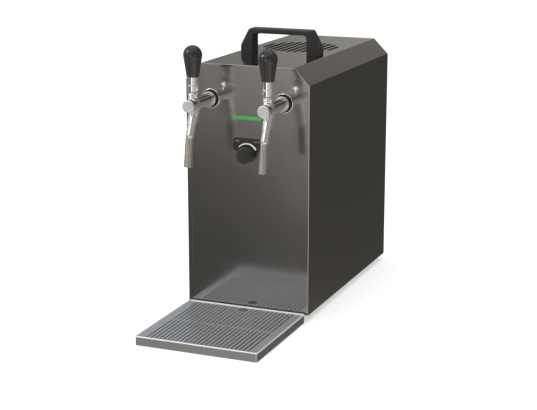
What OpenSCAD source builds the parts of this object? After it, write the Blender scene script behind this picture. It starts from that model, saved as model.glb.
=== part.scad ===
// Countertop draft beer dispenser with two taps, a dry cooler in a folded steel cabinet.
// The frame stands on the table: +Z is up, the taps face -Y, +X is to the right seen from the front.
// The origin lies on the table under the middle of the whole outline, drip tray included.

/* [Cabinet] */
// Width of the cabinet
body_w = 240; // [236:1:280]
// Depth of the cabinet
body_d = 450; // [445:1:520]
// Height of the casing without the feet
body_h = 452; // [448:1:520]
// Size of the slanted long edges, across and down
edge_c = 30; // [15:1:40]
// Thickness of the casing's sheet
sheet_t = 1.2; // [0.8:0.1:2]
// Width of the casing's front lip at the sides
lip_side = 8; // [5:0.5:9]
// Width of the front lip along the slanted edges
lip_slant = 4; // [2.5:0.5:6]
// Width of the front lip along the roof
lip_roof = 2.5; // [2:0.5:5]
// Width of the casing's back lip
lip_back = 10; // [9:0.5:14]
// Thickness of the front panel
panel_t = 1.5; // [1:0.1:2.5]
// Thickness of the back panel
back_t = 1.2; // [0.8:0.1:2]
// Thickness of the base pan
base_t = 1.5; // [1:0.1:2.5]
// Height of the base pan's turned-up edge
base_edge_h = 25; // [15:1:40]

/* [Feet] */
// Height of the rubber feet
foot_h = 13; // [8:0.5:25]
// Diameter of a foot at the base pan
foot_d = 28; // [22:1:36]
// Diameter of a foot on the table
foot_tip_d = 24; // [18:1:32]
// From the cabinet's side to a foot's middle
foot_in_x = 34; // [25:1:50]
// From the cabinet's front or back to a foot's middle
foot_in_y = 55; // [40:1:80]

/* [Roof vent] */
// Radius of the slotted field
vent_r = 76; // [60:1:78]
// From the cabinet's front to the middle of the field and of the fan
vent_y = 268; // [264:1:272]
// Width of a slot
vent_slot_w = 8; // [5:0.5:9]
// From one slot to the next
vent_step = 13.2; // [11:0.1:16]

/* [Carry handle] */
// Width over the legs at the roof
handle_w = 158; // [140:1:176]
// Clear width between the legs
handle_in_w = 107; // [90:1:115]
// Width of the grip bar's top
handle_top_w = 124; // [110:1:130]
// Height of the handle
handle_h = 46.5; // [40:0.5:60]
// Height of the upright part of a leg
handle_leg_h = 14.5; // [8:0.5:20]
// Thickness of the grip bar
handle_bar_t = 9.5; // [7:0.5:12]
// Depth of the handle, front to back
handle_d = 28; // [20:1:34]
// From the cabinet's front to the handle's middle
handle_y = 168; // [160:1:171]
// Rounding of the outer corners of the grip
handle_round = 5; // [2:0.5:8]
// Rounding of the inner corners under the grip
handle_in_round = 7; // [2:0.5:10]
// Diameter of the handle's screws
handle_screw_d = 5; // [4:0.5:6]
// Length of the handle's screws inside the legs
handle_screw_l = 14; // [8:1:16]

/* [Tap barrels] */
// From the casing's side to a tap's axis
tap_in_x = 49; // [45:1:53]
// Height of a tap over the casing's lower edge
tap_z = 388.5; // [380:0.5:392]
// Diameter of the barrel
barrel_d = 22; // [21:0.5:25]
// From the cabinet's front to the tap's front disc
barrel_out = 96; // [94:0.5:110]
// Diameter of the barrel's main bore
barrel_bore_d = 14; // [13:0.5:15]
// Thickness of the front disc
cap_t = 3; // [2:0.5:4]
// Diameter of the disc's plug inside the barrel
cap_plug_d = 17; // [16:0.5:18]
// Length of the plug
cap_plug_l = 13; // [11:0.5:13]
// Diameter of the wall collar
collar_d = 36; // [32:0.5:40]
// Length of the wall collar along the barrel
collar_l = 12; // [8:0.5:16]
// Diameter of the threaded shank behind the barrel
shank_d = 15.8; // [14:0.2:18]
// Length of the shank behind the front panel's face
shank_l = 55; // [40:1:60]
// Bore of the shank
shank_bore_d = 8; // [6:0.5:10]
// Width of the shank's nut across its corners
nut_d = 26; // [22:1:32]
// Thickness of the shank's nut
nut_t = 8; // [5:0.5:10]

/* [Tap valves] */
// Diameter of the valve rod
rod_d = 5; // [4:0.2:5.6]
// Diameter of the valve head
head_d = 12; // [11:0.2:12.6]
// Length of the valve head
head_l = 5; // [3:0.5:6]
// Diameter of the hole in the valve seat
seat_d = 9; // [8:0.2:10]
// Length of the valve seat
seat_l = 4; // [3:0.5:6]
// From the cabinet's front to the back of the seat
seat_y = 26; // [24:0.5:30]
// Length of the chamber behind the seat
chamber_l = 20; // [18:0.5:21]
// Thickness of the two flanges that the lever pushes
flange_t = 1.5; // [1:0.1:2]
// Diameter of the two flanges
flange_d = 9; // [8:0.2:10]

/* [Levers] */
// From the cabinet's front to the lever's axis
lever_y = 73; // [72:0.5:74]
// Height of the lever's pivot over the barrel's axis
pivot_h = 19.5; // [19:0.1:20]
// Diameter of the lever's socket on the barrel
socket_d = 19; // [18.6:0.2:20]
// Bore of the socket
socket_bore_d = 16.6; // [16:0.1:17]
// Diameter of the socket's mouth
mouth_d = 15; // [14.4:0.1:15.6]
// Diameter of the saddle where the socket meets the barrel
saddle_d = 21; // [20:0.2:22]
// Height of the socket's rim over the pivot
rim_h = 4; // [3.5:0.1:4.5]
// Gap between the socket's dome and the lever's ring
dome_gap = 0.3; // [0.2:0.05:0.5]
// Diameter of the lever's ball
ball_d = 13; // [12:0.2:14]
// Diameter of the lever's neck
neck_d = 8; // [7:0.2:8.4]
// Diameter of the lever's ring
ring_d = 18.4; // [17.6:0.1:23]
// Height of the lever's ring
ring_h = 11.2; // [8:0.2:14]
// Diameter of the lever's stem
stem_d = 16.8; // [14:0.1:20]
// Height of the stem above the ring
stem_h = 14.3; // [10:0.1:20]
// Diameter of the stud that holds the knob
stud_d = 8; // [6:0.5:9]
// Length of the stud
stud_l = 22; // [15:1:30]
// Diameter of the lever's lower arm
arm_d = 4; // [3.4:0.2:4.4]
// Diameter of the rounded ends of the lower fork
fork_d = 5; // [4.6:0.2:5.2]
// Thickness of the fork's prongs along the barrel
fork_t = 2.4; // [2:0.1:2.6]
// Width over the fork's prongs
fork_w = 9; // [8.6:0.1:9.4]
// Diameter of the pivot pins
pin_d = 3; // [2.5:0.1:3.5]

/* [Lever knobs] */
// Largest diameter of a knob
knob_d = 33.4; // [28:0.1:38]
// Diameter of a knob at its foot
knob_foot_d = 22.5; // [20:0.1:26]
// Height of a knob
knob_h = 55.5; // [45:0.5:70]

/* [Spouts] */
// Forward slant of the sleeves and the chrome tubes in degrees
spout_tilt = 25.5; // [20:0.1:28]
// Forward slant of the tips in degrees, less than that of the tubes
tip_tilt = 9.5; // [0:0.1:15]
// From the cabinet's front to where a spout's axis crosses the barrel's axis
spout_y = 63.9; // [62:0.1:66]
// Diameter of the sleeve under the barrel, at its top
sleeve_top_d = 18.8; // [18:0.1:21]
// Diameter of the sleeve at its foot
sleeve_foot_d = 17.4; // [17:0.1:19]
// Length of the sleeve from the barrel's axis
sleeve_l = 40; // [32:0.1:42]
// Diameter of the spout's tube
spout_d = 14.4; // [13.6:0.1:15]
// Wall of the spout's tube
spout_wall = 1.6; // [1:0.1:2]
// Length of the chrome tube from the sleeve to its bend
spout_l = 18.5; // [15:0.1:25]
// Diameter of the ball at its bend
bend_d = 14.8; // [14.6:0.1:16]
// Length of the tube inside the sleeve
spout_in = 12; // [8:0.5:16]
// Diameter of the tip at its top
tip_top_d = 14.2; // [14:0.1:15]
// Diameter of the tip at its foot
tip_foot_d = 15; // [14.6:0.1:17]
// Length of the tip
tip_l = 51.8; // [40:0.1:58]
// Bore of the spout's tip
tip_bore_d = 12; // [11:0.1:12.4]
// Length of the tube inside the tip
tip_in = 10; // [6:0.5:15]
// Diameter of the spout's plug in the tip
plug_d = 12.6; // [12.2:0.1:13]
// Bore from the barrel into the spout
outlet_d = 9; // [7:0.5:10]

/* [Dial] */
// Width of the black dial plate
dial_w = 55; // [50:1:60]
// Height of the dial plate
dial_h = 24.5; // [22:0.5:30]
// Corner radius of the dial plate
dial_r = 6; // [3:0.5:8]
// Thickness of the dial plate
dial_t = 0.8; // [0.5:0.1:1]
// From the knob's middle up to the dial plate's middle
dial_rise = 17.8; // [16:0.1:19]
// Height of the thermostat's axis
thermo_z = 290; // [286:0.5:292]
// Outer radius of the wedge scale
scale_r = 21.4; // [19:0.1:22]
// Width of the scale at its thin end
scale_thin = 1.5; // [1:0.1:2]
// Width of the scale at its thick end
scale_thick = 4; // [3:0.1:5]
// Direction of the scale's thin end in degrees, from the right
scale_from = 142; // [130:1:148]
// Direction of the scale's thick end in degrees
scale_to = 30; // [28:1:45]
// Thickness of printed marks
print_t = 0.3; // [0.2:0.05:0.4]
// Diameter of the thermostat knob's skirt
skirt_d = 31; // [28:0.5:33]
// Length of the skirt
skirt_l = 4; // [2:0.5:6]
// Diameter of the knob's grip
grip_d = 28.5; // [24:0.5:30]
// Length of the knob, skirt included
grip_l = 18; // [14:0.5:24]
// Diameter of the thermostat's shaft
shaft_d = 6; // [5:0.5:7]
// Diameter of the thermostat's bush
bush_d = 9.6; // [9:0.1:12]
// Width of the thermostat's box
thermo_w = 46; // [36:1:60]
// Depth of the thermostat's box
thermo_d = 32; // [24:1:36]
// Height of the thermostat's box
thermo_h = 34; // [26:1:40]
// Width of the green strip
strip_w = 57; // [40:1:60]
// Height of the green strip
strip_h = 5; // [3:0.5:9]
// Height of the strip's middle over the casing's lower edge
strip_z = 357; // [345:1:365]

/* [Drip tray] */
// Width of the tray
tray_w = 230; // [210:1:236]
// Depth of the tray
tray_d = 222.7; // [200:0.1:240]
// Height of the tray
tray_h = 16.6; // [12:0.1:22]
// Gap between the tray and the cabinet
tray_gap = 5.3; // [2:0.1:10]
// Thickness of the tray's sheet
tray_t = 1; // [0.8:0.1:1.5]
// Thickness of the grid's sheet
grid_t = 1.2; // [1:0.1:1.5]
// How far the grid lies below the tray's rim
grid_sunk = 1; // [0.5:0.1:2]
// Gap round the grid
grid_gap = 0.5; // [0.3:0.1:1]
// Width of a slot in the grid
grid_slot_w = 2.6; // [2:0.1:4]
// From one slot of the grid to the next
grid_step = 7.94; // [7:0.01:10]
// Plain strip between the two rows of slots, and round the finger hole
grid_bridge = 4; // [2:0.5:8]
// Plain border of the grid at its sides
grid_side = 15; // [9:0.5:16]
// Plain border of the grid at its front
grid_front = 6; // [4:0.5:16]
// Plain border of the grid at its back
grid_back = 4; // [2.5:0.5:16]
// Diameter of the finger hole
finger_d = 20; // [16:0.5:24]
// From the grid's back edge to the finger hole's middle
finger_y = 15; // [13:0.5:24]

/* [Cooling block] */
// Width of the cast block
block_w = 150; // [130:1:156]
// Depth of the cast block
block_d = 90; // [80:1:94]
// Height of the cast block
block_h = 220; // [160:1:222]
// Thickness of the insulation boards
foam_t = 20; // [15:1:24]
// From the cabinet's front to the front insulation board
foam_y = 12; // [8:1:16]
// Diameter of the coils' tube
coil_d = 8; // [6:0.5:9]
// From one run of a coil to the next
coil_step = 18; // [16:0.5:20]
// Runs in a coil, an even number
coil_runs = 4; // [2:2:4]
// From the middle to a beer coil
coil_x = 40; // [35:1:50]
// From the block's lower face to the coil's lowest point
coil_low = 20; // [12:1:40]
// How far a coil's ends stand out of the insulation
coil_out = 10; // [6:1:20]

/* [Compressor] */
// From the cabinet's front to the compressor's middle
comp_y = 225; // [220:1:230]
// Diameter of the compressor's shell
comp_d = 120; // [100:1:124]
// Height of the compressor's shell
comp_h = 145; // [120:1:160]
// Wall of the shell
comp_wall = 3; // [2:0.5:4]
// Width of the shell's weld seam beyond the shell
seam_out = 3; // [2:0.5:5]
// Width of the compressor's foot plate
comp_plate_w = 150; // [140:1:170]
// Depth of the compressor's foot plate
comp_plate_d = 116; // [100:1:130]
// Thickness of the foot plate
comp_plate_t = 3; // [2:0.5:4]
// Diameter of the rubber grommets
grommet_d = 22; // [18:1:24]
// Height of the rubber grommets
grommet_h = 12; // [8:1:16]
// Diameter of the grommets' studs
comp_stud_d = 6; // [5:0.5:8]
// Gap round the motor in the shell
motor_gap = 13; // [8:1:20]
// Height left over the motor in the shell
motor_over = 43; // [30:1:50]

/* [Condenser and fan] */
// Number of condenser fins
fin_count = 20; // [12:1:24]
// Thickness of a fin
fin_t = 0.8; // [0.5:0.1:1.2]
// From the casing's inside to the outermost fins
fin_in_x = 42.8; // [41:0.1:48]
// Depth of the fins
fin_d = 156; // [150:1:160]
// Height of the fins
fin_h = 52; // [40:1:60]
// Height of the condenser's lower face
cond_z = 302; // [295:1:305]
// Runs of the condenser's tube
cond_runs = 6; // [4:2:6]
// From one run to the next
cond_step = 25; // [20:0.5:25]
// Diameter of the condenser's tube
cond_tube_d = 8; // [6:0.5:9]
// Thickness of the condenser's brackets
bracket_t = 1.5; // [1:0.1:2]
// Height of the fan shroud's plate
shroud_z = 385; // [380:1:388]
// Thickness of the fan shroud
shroud_t = 2; // [1.5:0.1:3]
// Depth of the fan shroud's plate
shroud_d = 172; // [166:1:176]
// Height of the shroud's turned-down sides
shroud_edge_h = 14; // [8:1:20]
// Bore of the fan duct
duct_d = 156; // [154:1:160]
// Diameter of the fan rotor
fan_d = 148; // [130:1:150]
// Number of fan blades
blade_count = 5; // [3:1:7]
// Thickness of a blade
blade_t = 2; // [1.5:0.1:2.5]
// Slant of a blade in degrees
blade_tilt = 30; // [20:1:35]
// Diameter of the rotor's hub
hub_d = 54; // [44:1:60]
// Height of the rotor's hub
hub_h = 22; // [18:1:24]
// Diameter of the fan motor
fan_motor_d = 48; // [40:1:56]
// Height of the fan motor
fan_motor_h = 24; // [18:1:26]
// Diameter of the fan motor's shaft
fan_shaft_d = 5; // [4:0.5:6]
// Width of the arms under the fan motor
arm_w = 12; // [8:1:16]
// Thickness of the arms under the fan motor
arm_t = 3; // [2:0.5:4]

/* [Back] */
// Width of the air pump
pump_w = 110; // [80:1:140]
// Depth of the air pump
pump_d = 94; // [70:1:95]
// Height of the air pump
pump_h = 80; // [60:1:90]
// Height of the beer inlets
inlet_z = 60; // [50:1:70]
// From the casing's side to a beer inlet
inlet_in_x = 32; // [28:1:36]
// Diameter of an inlet's body
inlet_d = 22; // [20:0.5:26]
// Length of an inlet's body outside the panel
inlet_l = 16; // [12:0.5:20]
// Diameter of an inlet's threaded tail
tail_d = 16; // [15:0.5:18]
// Length of the tail inside the panel
tail_l = 14; // [10:0.5:18]
// Bore of the tail
inlet_bore_d = 7.5; // [6:0.5:9]
// Diameter of the beer tube that an inlet takes
tube_d = 9.5; // [8:0.1:10]
// Diameter of the release collet
collet_d = 13; // [12.4:0.1:14]
// Diameter of the collet's head
collet_head_d = 17; // [15:0.5:20]
// Thickness of the collet's head
collet_head_t = 2; // [1.5:0.1:3]
// Travel of the release collet
collet_travel = 1.5; // [1:0.1:2]
// Length of the collet inside the inlet
collet_in = 8; // [6:0.5:9]
// Height of the air outlets
barb_z = 50; // [40:1:60]
// From the middle to an air outlet
barb_x = 22; // [15:1:30]
// Diameter of an air outlet's barbs
barb_d = 8; // [6:0.5:10]
// Length of an air outlet outside the panel
barb_l = 16; // [12:0.5:18]
// Bore of an air outlet
barb_bore_d = 4; // [2:0.5:5]
// Height of the switches and the cord gland
switch_z = 115; // [108:1:125]
// From the middle to the power switch, to the left seen from the back
power_x = 50; // [40:1:60]
// From the middle to the pump switch
pump_x = 10; // [0:1:15]
// Width of a rocker
rocker_w = 11; // [8:0.5:16]
// Height of a rocker
rocker_h = 17; // [14:0.5:22]
// Border of a switch frame round its rocker
frame_border = 3; // [2:0.5:5]
// Depth of a switch frame behind the panel
frame_in = 18; // [14:1:24]
// Tilt of a rocker to each side in degrees
rocker_tilt = 10; // [6:1:12]
// From the middle to the cord gland
gland_x = 50; // [40:1:60]
// Diameter of the cord gland
gland_d = 18; // [15:1:22]
// Diameter of the gland's neck in the panel
gland_neck_d = 15; // [12:0.5:17]
// Diameter of the cord that the gland takes
cord_d = 7.5; // [6:0.5:9]
// Length of the gland outside the panel
gland_l = 10; // [6:1:16]
// Length of a slot in the back grille
grille_l = 50; // [30:1:54]
// Width of a slot in the back grille
grille_w = 4; // [3:0.5:6]
// From one grille slot to the next
grille_step = 12; // [9:0.5:20]
// Height of the lowest grille slot
grille_low = 170; // [160:1:190]
// Height of the highest grille slot
grille_high = 410; // [380:1:415]
// From one column of the grille to the next
grille_col = 62; // [60:1:66]
// Diameter of the casing's back screws
screw_d = 3.5; // [3:0.1:4.5]
// Diameter of the back screws' heads
screw_head_d = 7; // [6:0.5:8]
// Height of the back screws' heads
screw_head_h = 2.2; // [1.5:0.1:3]
// Length of the back screws behind the lip
screw_l = 8; // [6:0.5:12]

/* [Lines] */
// Diameter of the beer lines
line_d = 10; // [8:0.5:11]
// Diameter of the refrigerant lines
pipe_d = 6; // [5:0.5:7]
// Diameter of the capillary tube
capillary_d = 2; // [1.6:0.1:3]
// Length of the bend at a line's corner
bend = 40; // [30:1:44]

/* [Hidden] */
$fn = 48;

// How far a cut runs past the face that it opens
overrun = 0.5;
// Gap round a part that turns or slides in its bore
running = 0.05;
// Gap between a moving part and what it stops against
stop_gap = 0.1;
// Gap round a rocker in its frame
rocker_gap = 0.4;
// Gap beside the valve rod in the lever's fork
fork_gap = 0.2;
// Gap between the fork's rounded ends and the flanges
push_gap = 0.6;
// How far the pocket for the fork's swing runs back in the barrel
pocket_l = 10;
// Height of that pocket over the barrel's axis
pocket_h = 8;
// Thickness left in front of the valve rod in the cap
cap_floor = 1;
// Gap between the front end of the valve rod and the cap
rod_gap = 0.5;
// Width of a nut on the compressor's studs
stud_nut_d = 14;
// Thickness of a nut on the compressor's studs
stud_nut_t = 5;
// Gap between the thermostat knob and the dial plate
knob_gap = 0.7;
// Length of the thermostat's shaft inside its box
shaft_in = 8;
// Depth of the knob's bore that takes the shaft
knob_bore = 12;
// Diameter of a handle screw's head
handle_head_d = 10;
// Height of a handle screw's head
handle_head_h = 3.5;
// From the outside of a leg to its screw, as a share of the leg's width
leg_screw_share = 0.5;
// Heights of the back screws, as shares of the casing's height
screw_height_shares = [0.12, 0.5, 0.86];
// Places of an air outlet's barbs, as shares of its length
barb_place_shares = [0.45, 0.75];
// How much wider than its tail a barb is
barb_rise = 1;
// Depth of a rocker behind its pivot
rocker_deep = 5;
// How far a rocker's ends stand out past its pivot
rocker_end = 2.2;
// How far a rocker's waist stands out past its pivot
rocker_waist = 0.6;
// Thickness of a switch frame's border outside the panel
bezel_t = 1.5;
// Length of the compressor's pipe stubs
stub_l = 12;
// From the compressor's middle to its pipe stubs
stub_x = 22;
// Height of the tap lines' upper bend over the coil ends
line_rise = 60;
// Gap between a supply line and the casing's side
side_gap = 17.8;
// Height at which the supply lines cross over the insulation
cross_z = 320;

dark_steel = [0.30, 0.29, 0.28];
panel_steel = [0.38, 0.37, 0.36];
bright_steel = [0.72, 0.73, 0.74];
chrome = [0.86, 0.86, 0.87];
black_plastic = [0.08, 0.08, 0.08];
rubber = [0.05, 0.05, 0.05];
aluminium = [0.66, 0.67, 0.68];
copper = [0.72, 0.42, 0.26];
zinc = [0.60, 0.61, 0.62];
foam = [0.88, 0.86, 0.74];
clear_line = [0.80, 0.84, 0.86];

collet_out = collet_head_t + collet_travel + stop_gap;
front_reach = tray_gap + tray_d;
back_reach = body_d - sheet_t + inlet_l + collet_out;
front_y = (front_reach - back_reach) / 2;
wall_y = sheet_t;
panel_back_y = sheet_t + panel_t;
back_out_y = body_d - sheet_t;
back_in_y = back_out_y - back_t;
inner_w = body_w - 2 * sheet_t;
tap_x = body_w / 2 - tap_in_x;
inlet_x = body_w / 2 - inlet_in_x;
side_run_x = (inner_w - line_d) / 2 - side_gap;
fin_span = inner_w - 2 * fin_in_x;
motor_d = comp_d - 2 * (comp_wall + motor_gap);
motor_h = comp_h - 2 * comp_wall - motor_over;
roof_in_z = body_h - sheet_t;
barrel_r = barrel_d / 2;
flange_gap = fork_d / 2 + push_gap;
foam_in_y = foam_y + foam_t;
foam_w = block_w + 2 * foam_t;
foam_d = block_d + 2 * foam_t;
foam_h = block_h + 2 * foam_t;
foam_top_z = base_t + foam_h;
block_y = foam_in_y + block_d / 2;
block_z = base_t + foam_t;
coil_end_z = foam_top_z + coil_out;
coil_front_y = block_y - (coil_runs - 1) * coil_step / 2;
coil_back_y = block_y + (coil_runs - 1) * coil_step / 2;
comp_plate_z = base_t + grommet_h;
comp_z = comp_plate_z + comp_plate_t;
cond_front_y = vent_y - (cond_runs - 1) * cond_step / 2;
cond_back_y = vent_y + (cond_runs - 1) * cond_step / 2;
cond_mid_z = cond_z + fin_h / 2;
cond_end_x = fin_span / 2 + bracket_t + coil_out;
arm_z = shroud_z + shroud_t - arm_t;
fan_motor_z = shroud_z + shroud_t;
rotor_z = fan_motor_z + fan_motor_h + overrun;
tap_line_y = wall_y + shank_l;
grid_top = tray_h - grid_sunk;
spout_bore_d = tip_bore_d - 2 * spout_wall;
nose = sqrt(bend_d * bend_d - plug_d * plug_d) / 2 + running;
rocker_hole = [rocker_w + 2 * rocker_gap, rocker_h + 2 * rocker_gap];
grid_w = tray_w - 2 * (tray_t + grid_gap);
grid_d = tray_d - 2 * (tray_t + grid_gap);

// Places a child in the cabinet's frame: its front face at zero and its lower edge at zero.
module at_front() translate([0, front_y, foot_h]) children();

// Places a child on the axis of the tap on one side.
module at_tap(side) at_front() translate([side * tap_x, 0, tap_z]) children();

// Places a child at a lever's pivot.
module at_pivot(side) at_tap(side) translate([0, -lever_y, pivot_h]) children();

// Places a child at the spout's root, with -Z down the slanted spout.
module at_spout(side) at_tap(side) translate([0, -spout_y, 0]) rotate([-spout_tilt, 0, 0]) children();

// Places a child at the spout's bend, with -Z down the tip.
module at_bend(side) at_spout(side) translate([0, 0, -sleeve_l - spout_l])
    rotate([spout_tilt - tip_tilt, 0, 0]) children();

// A round bar along Y between two depths.
module bar_y(d, from, to) translate([0, from, 0]) rotate([-90, 0, 0]) cylinder(d = d, h = to - from);

// A round bar along X between two places.
module bar_x(d, from, to) translate([from, 0, 0]) rotate([0, 90, 0]) cylinder(d = d, h = to - from);

// An upright plate that faces the front, from a 2D outline in X and Z.
module plate_y(from, t) translate([0, from + t, 0]) rotate([90, 0, 0]) linear_extrude(t) children();

// A box that is centred across X and Y and stands on its lower face.
module block(size) translate([-size.x / 2, -size.y / 2, 0]) cube(size);

// A rectangle with round corners.
module rounded_rect(w, h, r) {
    square([w - 2 * r, h], center = true);
    square([w, h - 2 * r], center = true);
    for (sx = [-1, 1], sy = [-1, 1]) translate([sx * (w / 2 - r), sy * (h / 2 - r)]) circle(r);
}

// A slot with round ends that is long along Y.
module slot(w, l) {
    square([w, l - w], center = true);
    for (s = [-1, 1]) translate([0, s * (l - w) / 2]) circle(d = w);
}

function unit(v) = v / norm(v);

// Arc points that round the corner b of an outline, between its neighbours a and c.
function corner(a, b, c, r, steps) =
    let (u = unit(a - b), v = unit(c - b), half = acos(u * v) / 2,
         start = b + u * r / tan(half), mid = b + unit(u + v) * r / sin(half),
         from = atan2(start.y - mid.y, start.x - mid.x),
         turn = acos(-u * v) * sign(u.y * v.x - u.x * v.y))
    [for (i = [0:steps]) mid + r * [cos(from + turn * i / steps), sin(from + turn * i / steps)]];

// An outline whose corners are rounded by their own radii, where zero keeps a corner sharp.
function rounded(points, radii, steps = 6) =
    let (n = len(points))
    [for (i = [0:n - 1]) each radii[i] == 0 ? [points[i]] :
        corner(points[(i + n - 1) % n], points[i], points[(i + 1) % n], radii[i], steps)];

// Points of a line through corners, each turned smoothly over the bend's length.
function route(points, reach, steps = 5) =
    [points[0],
     for (i = [1:len(points) - 2])
        let (b = points[i], size = min(reach, norm(points[i - 1] - b) / 2, norm(points[i + 1] - b) / 2),
             a = b + unit(points[i - 1] - b) * size, c = b + unit(points[i + 1] - b) * size)
        for (k = [0:steps]) let (s = k / steps) (1 - s) * (1 - s) * a + 2 * s * (1 - s) * b + s * s * c,
     points[len(points) - 1]];

// A tube of eight sides carried along points, without twist.
module swept(points, d, sides = 8) {
    n = len(points);
    ahead = [for (i = [0:n - 1]) unit(points[min(i + 1, n - 1)] - points[max(i - 1, 0)])];
    first = unit(cross(ahead[0], abs(ahead[0].z) > 0.9 ? [1, 0, 0] : [0, 0, 1]));
    across = [for (i = 0, v = first; i < n;
                   i = i + 1, v = i < n ? unit(v - (v * ahead[i]) * ahead[i]) : v) v];
    rings = [for (i = [0:n - 1]) for (k = [0:sides - 1])
        let (a = 360 * k / sides)
        points[i] + d / 2 * (across[i] * cos(a) + cross(ahead[i], across[i]) * sin(a))];
    faces = [[for (k = [0:sides - 1]) k],
             for (i = [0:n - 2]) for (k = [0:sides - 1])
                 let (m = (k + 1) % sides, a = i * sides)
                 each [[a + k, a + sides + k, a + sides + m], [a + k, a + sides + m, a + m]],
             [for (k = [0:sides - 1]) (n - 1) * sides + sides - 1 - k]];
    polyhedron(rings, faces);
}

// Section of the casing, set in by its own amount at the sides, the slants and the roof.
function casing_line(side, slant, roof, low = 0) =
    let (half = body_w / 2, cut = edge_c + slant * sqrt(2))
    [[-half + side, low], [-half + side, body_h - cut + side], [-half + cut - roof, body_h - roof],
     [half - cut + roof, body_h - roof], [half - side, body_h - cut + side], [half - side, low]];

// A hoop of sheet that follows the casing's section, open at the bottom.
module casing_hoop(from, depth, side, slant, roof) plate_y(from, depth) difference() {
    polygon(casing_line(0, 0, 0));
    polygon(casing_line(side, slant, roof, -overrun));
}

// Places and lengths of the roof's slots, which run from front to back across the round field.
function vent_slots() =
    let (last = floor((vent_r - vent_slot_w) / vent_step))
    [for (i = [-last:last])
        let (x = i * vent_step, out_x = abs(x) + vent_slot_w / 2)
        [x, 2 * sqrt(vent_r * vent_r - out_x * out_x)]];

// Places of the screws in the handle's legs.
function handle_screw_places() =
    let (leg = (handle_w - handle_in_w) / 2)
    [for (s = [-1, 1]) [s * (handle_w / 2 - leg * leg_screw_share), handle_y]];

// Places of the casing's back screws, on the middle of the back lip.
function back_screw_places() =
    [for (s = [-1, 1]) for (share = screw_height_shares) [s * (body_w - lip_back) / 2, body_h * share]];

module casing_cover() color(dark_steel) at_front() difference() {
    union() {
        casing_hoop(0, body_d, sheet_t, sheet_t, sheet_t);
        casing_hoop(0, sheet_t, lip_side, lip_slant, lip_roof);
        casing_hoop(back_out_y, sheet_t, lip_back, lip_back, lip_back);
    }
    translate([0, vent_y, roof_in_z - overrun]) linear_extrude(sheet_t + 2 * overrun)
        for (p = vent_slots()) translate([p.x, 0]) slot(vent_slot_w, p.y);
    for (p = handle_screw_places()) translate([p.x, p.y, roof_in_z - overrun])
        cylinder(d = handle_screw_d, h = sheet_t + 2 * overrun);
    for (p = back_screw_places()) translate([p.x, 0, p.y])
        bar_y(screw_d, back_out_y - overrun, body_d + overrun);
}

module front_panel() color(panel_steel) at_front() difference() {
    plate_y(wall_y, panel_t) polygon(casing_line(sheet_t, sheet_t, sheet_t));
    for (s = [-1, 1]) translate([s * tap_x, 0, tap_z])
        bar_y(shank_d + 2 * running, wall_y - overrun, panel_back_y + overrun);
    translate([0, 0, thermo_z]) bar_y(bush_d + 2 * running, wall_y - overrun, panel_back_y + overrun);
}

module back_panel() color(dark_steel) at_front() difference() {
    plate_y(back_in_y, back_t) difference() {
        polygon(casing_line(sheet_t, sheet_t, sheet_t));
        for (z = [grille_low:grille_step:grille_high]) for (c = [-1:1]) translate([c * grille_col, z])
            rotate(90) slot(grille_w, grille_l);
        for (x = [-power_x, -pump_x]) translate([x, switch_z])
            square([for (v = rocker_hole) v + frame_border], center = true);
    }
    for (s = [-1, 1]) translate([s * inlet_x, 0, inlet_z])
        bar_y(tail_d, back_in_y - overrun, back_out_y + overrun);
    for (s = [-1, 1]) translate([s * barb_x, 0, barb_z])
        bar_y(barb_d, back_in_y - overrun, back_out_y + overrun);
    translate([gland_x, 0, switch_z]) bar_y(gland_neck_d, back_in_y - overrun, back_out_y + overrun);
    for (p = back_screw_places()) translate([p.x, 0, p.y])
        bar_y(screw_d, back_in_y - overrun, back_out_y + overrun);
}

module base_pan() color(zinc) at_front() {
    depth = back_in_y - panel_back_y;
    translate([0, panel_back_y + depth / 2, 0]) difference() {
        block([inner_w, depth, base_edge_h]);
        translate([0, 0, base_t]) block([inner_w - 2 * base_t, depth - 2 * base_t, base_edge_h]);
    }
}

module rubber_feet() color(rubber) at_front()
    for (x = [foot_in_x, body_w - foot_in_x]) for (y = [foot_in_y, body_d - foot_in_y])
        translate([x - body_w / 2, y, -foot_h]) cylinder(d1 = foot_tip_d, d2 = foot_d, h = foot_h);

module carry_handle() color(black_plastic) at_front() difference() {
    out = handle_w / 2;
    in = handle_in_w / 2;
    top = handle_top_w / 2;
    under = handle_h - handle_bar_t;
    translate([0, 0, body_h]) plate_y(handle_y - handle_d / 2, handle_d) polygon(rounded(
        [[-out, 0], [-in, 0], [-in, under], [in, under], [in, 0], [out, 0],
         [out, handle_leg_h], [top, handle_h], [-top, handle_h], [-out, handle_leg_h]],
        [0, 0, handle_in_round, handle_in_round, 0, 0,
         handle_round, handle_round, handle_round, handle_round]));
    for (p = handle_screw_places()) translate([p.x, p.y, body_h - overrun])
        cylinder(d = handle_screw_d, h = handle_screw_l + 2 * overrun);
}

module handle_screws() color(zinc) at_front() for (p = handle_screw_places())
    translate([p.x, p.y, roof_in_z]) {
        translate([0, 0, -handle_head_h]) cylinder(d = handle_head_d, h = handle_head_h);
        cylinder(d = handle_screw_d, h = sheet_t + handle_screw_l);
    }

module back_screws() color(zinc) at_front() for (p = back_screw_places()) translate([p.x, 0, p.y]) {
    bar_y(screw_head_d, body_d, body_d + screw_head_h);
    bar_y(screw_d, body_d - screw_l, body_d);
}

module dial_plate() color(black_plastic) at_front() translate([0, 0, thermo_z + dial_rise])
    plate_y(wall_y - dial_t, dial_t) rounded_rect(dial_w, dial_h, dial_r);

// A wedge bent into an arc: its outer edge is round, its inner edge draws nearer to the knob.
module dial_scale() color("white") at_front() translate([0, 0, thermo_z])
    plate_y(wall_y - dial_t - print_t, print_t) polygon(wedge_line(28));

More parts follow.
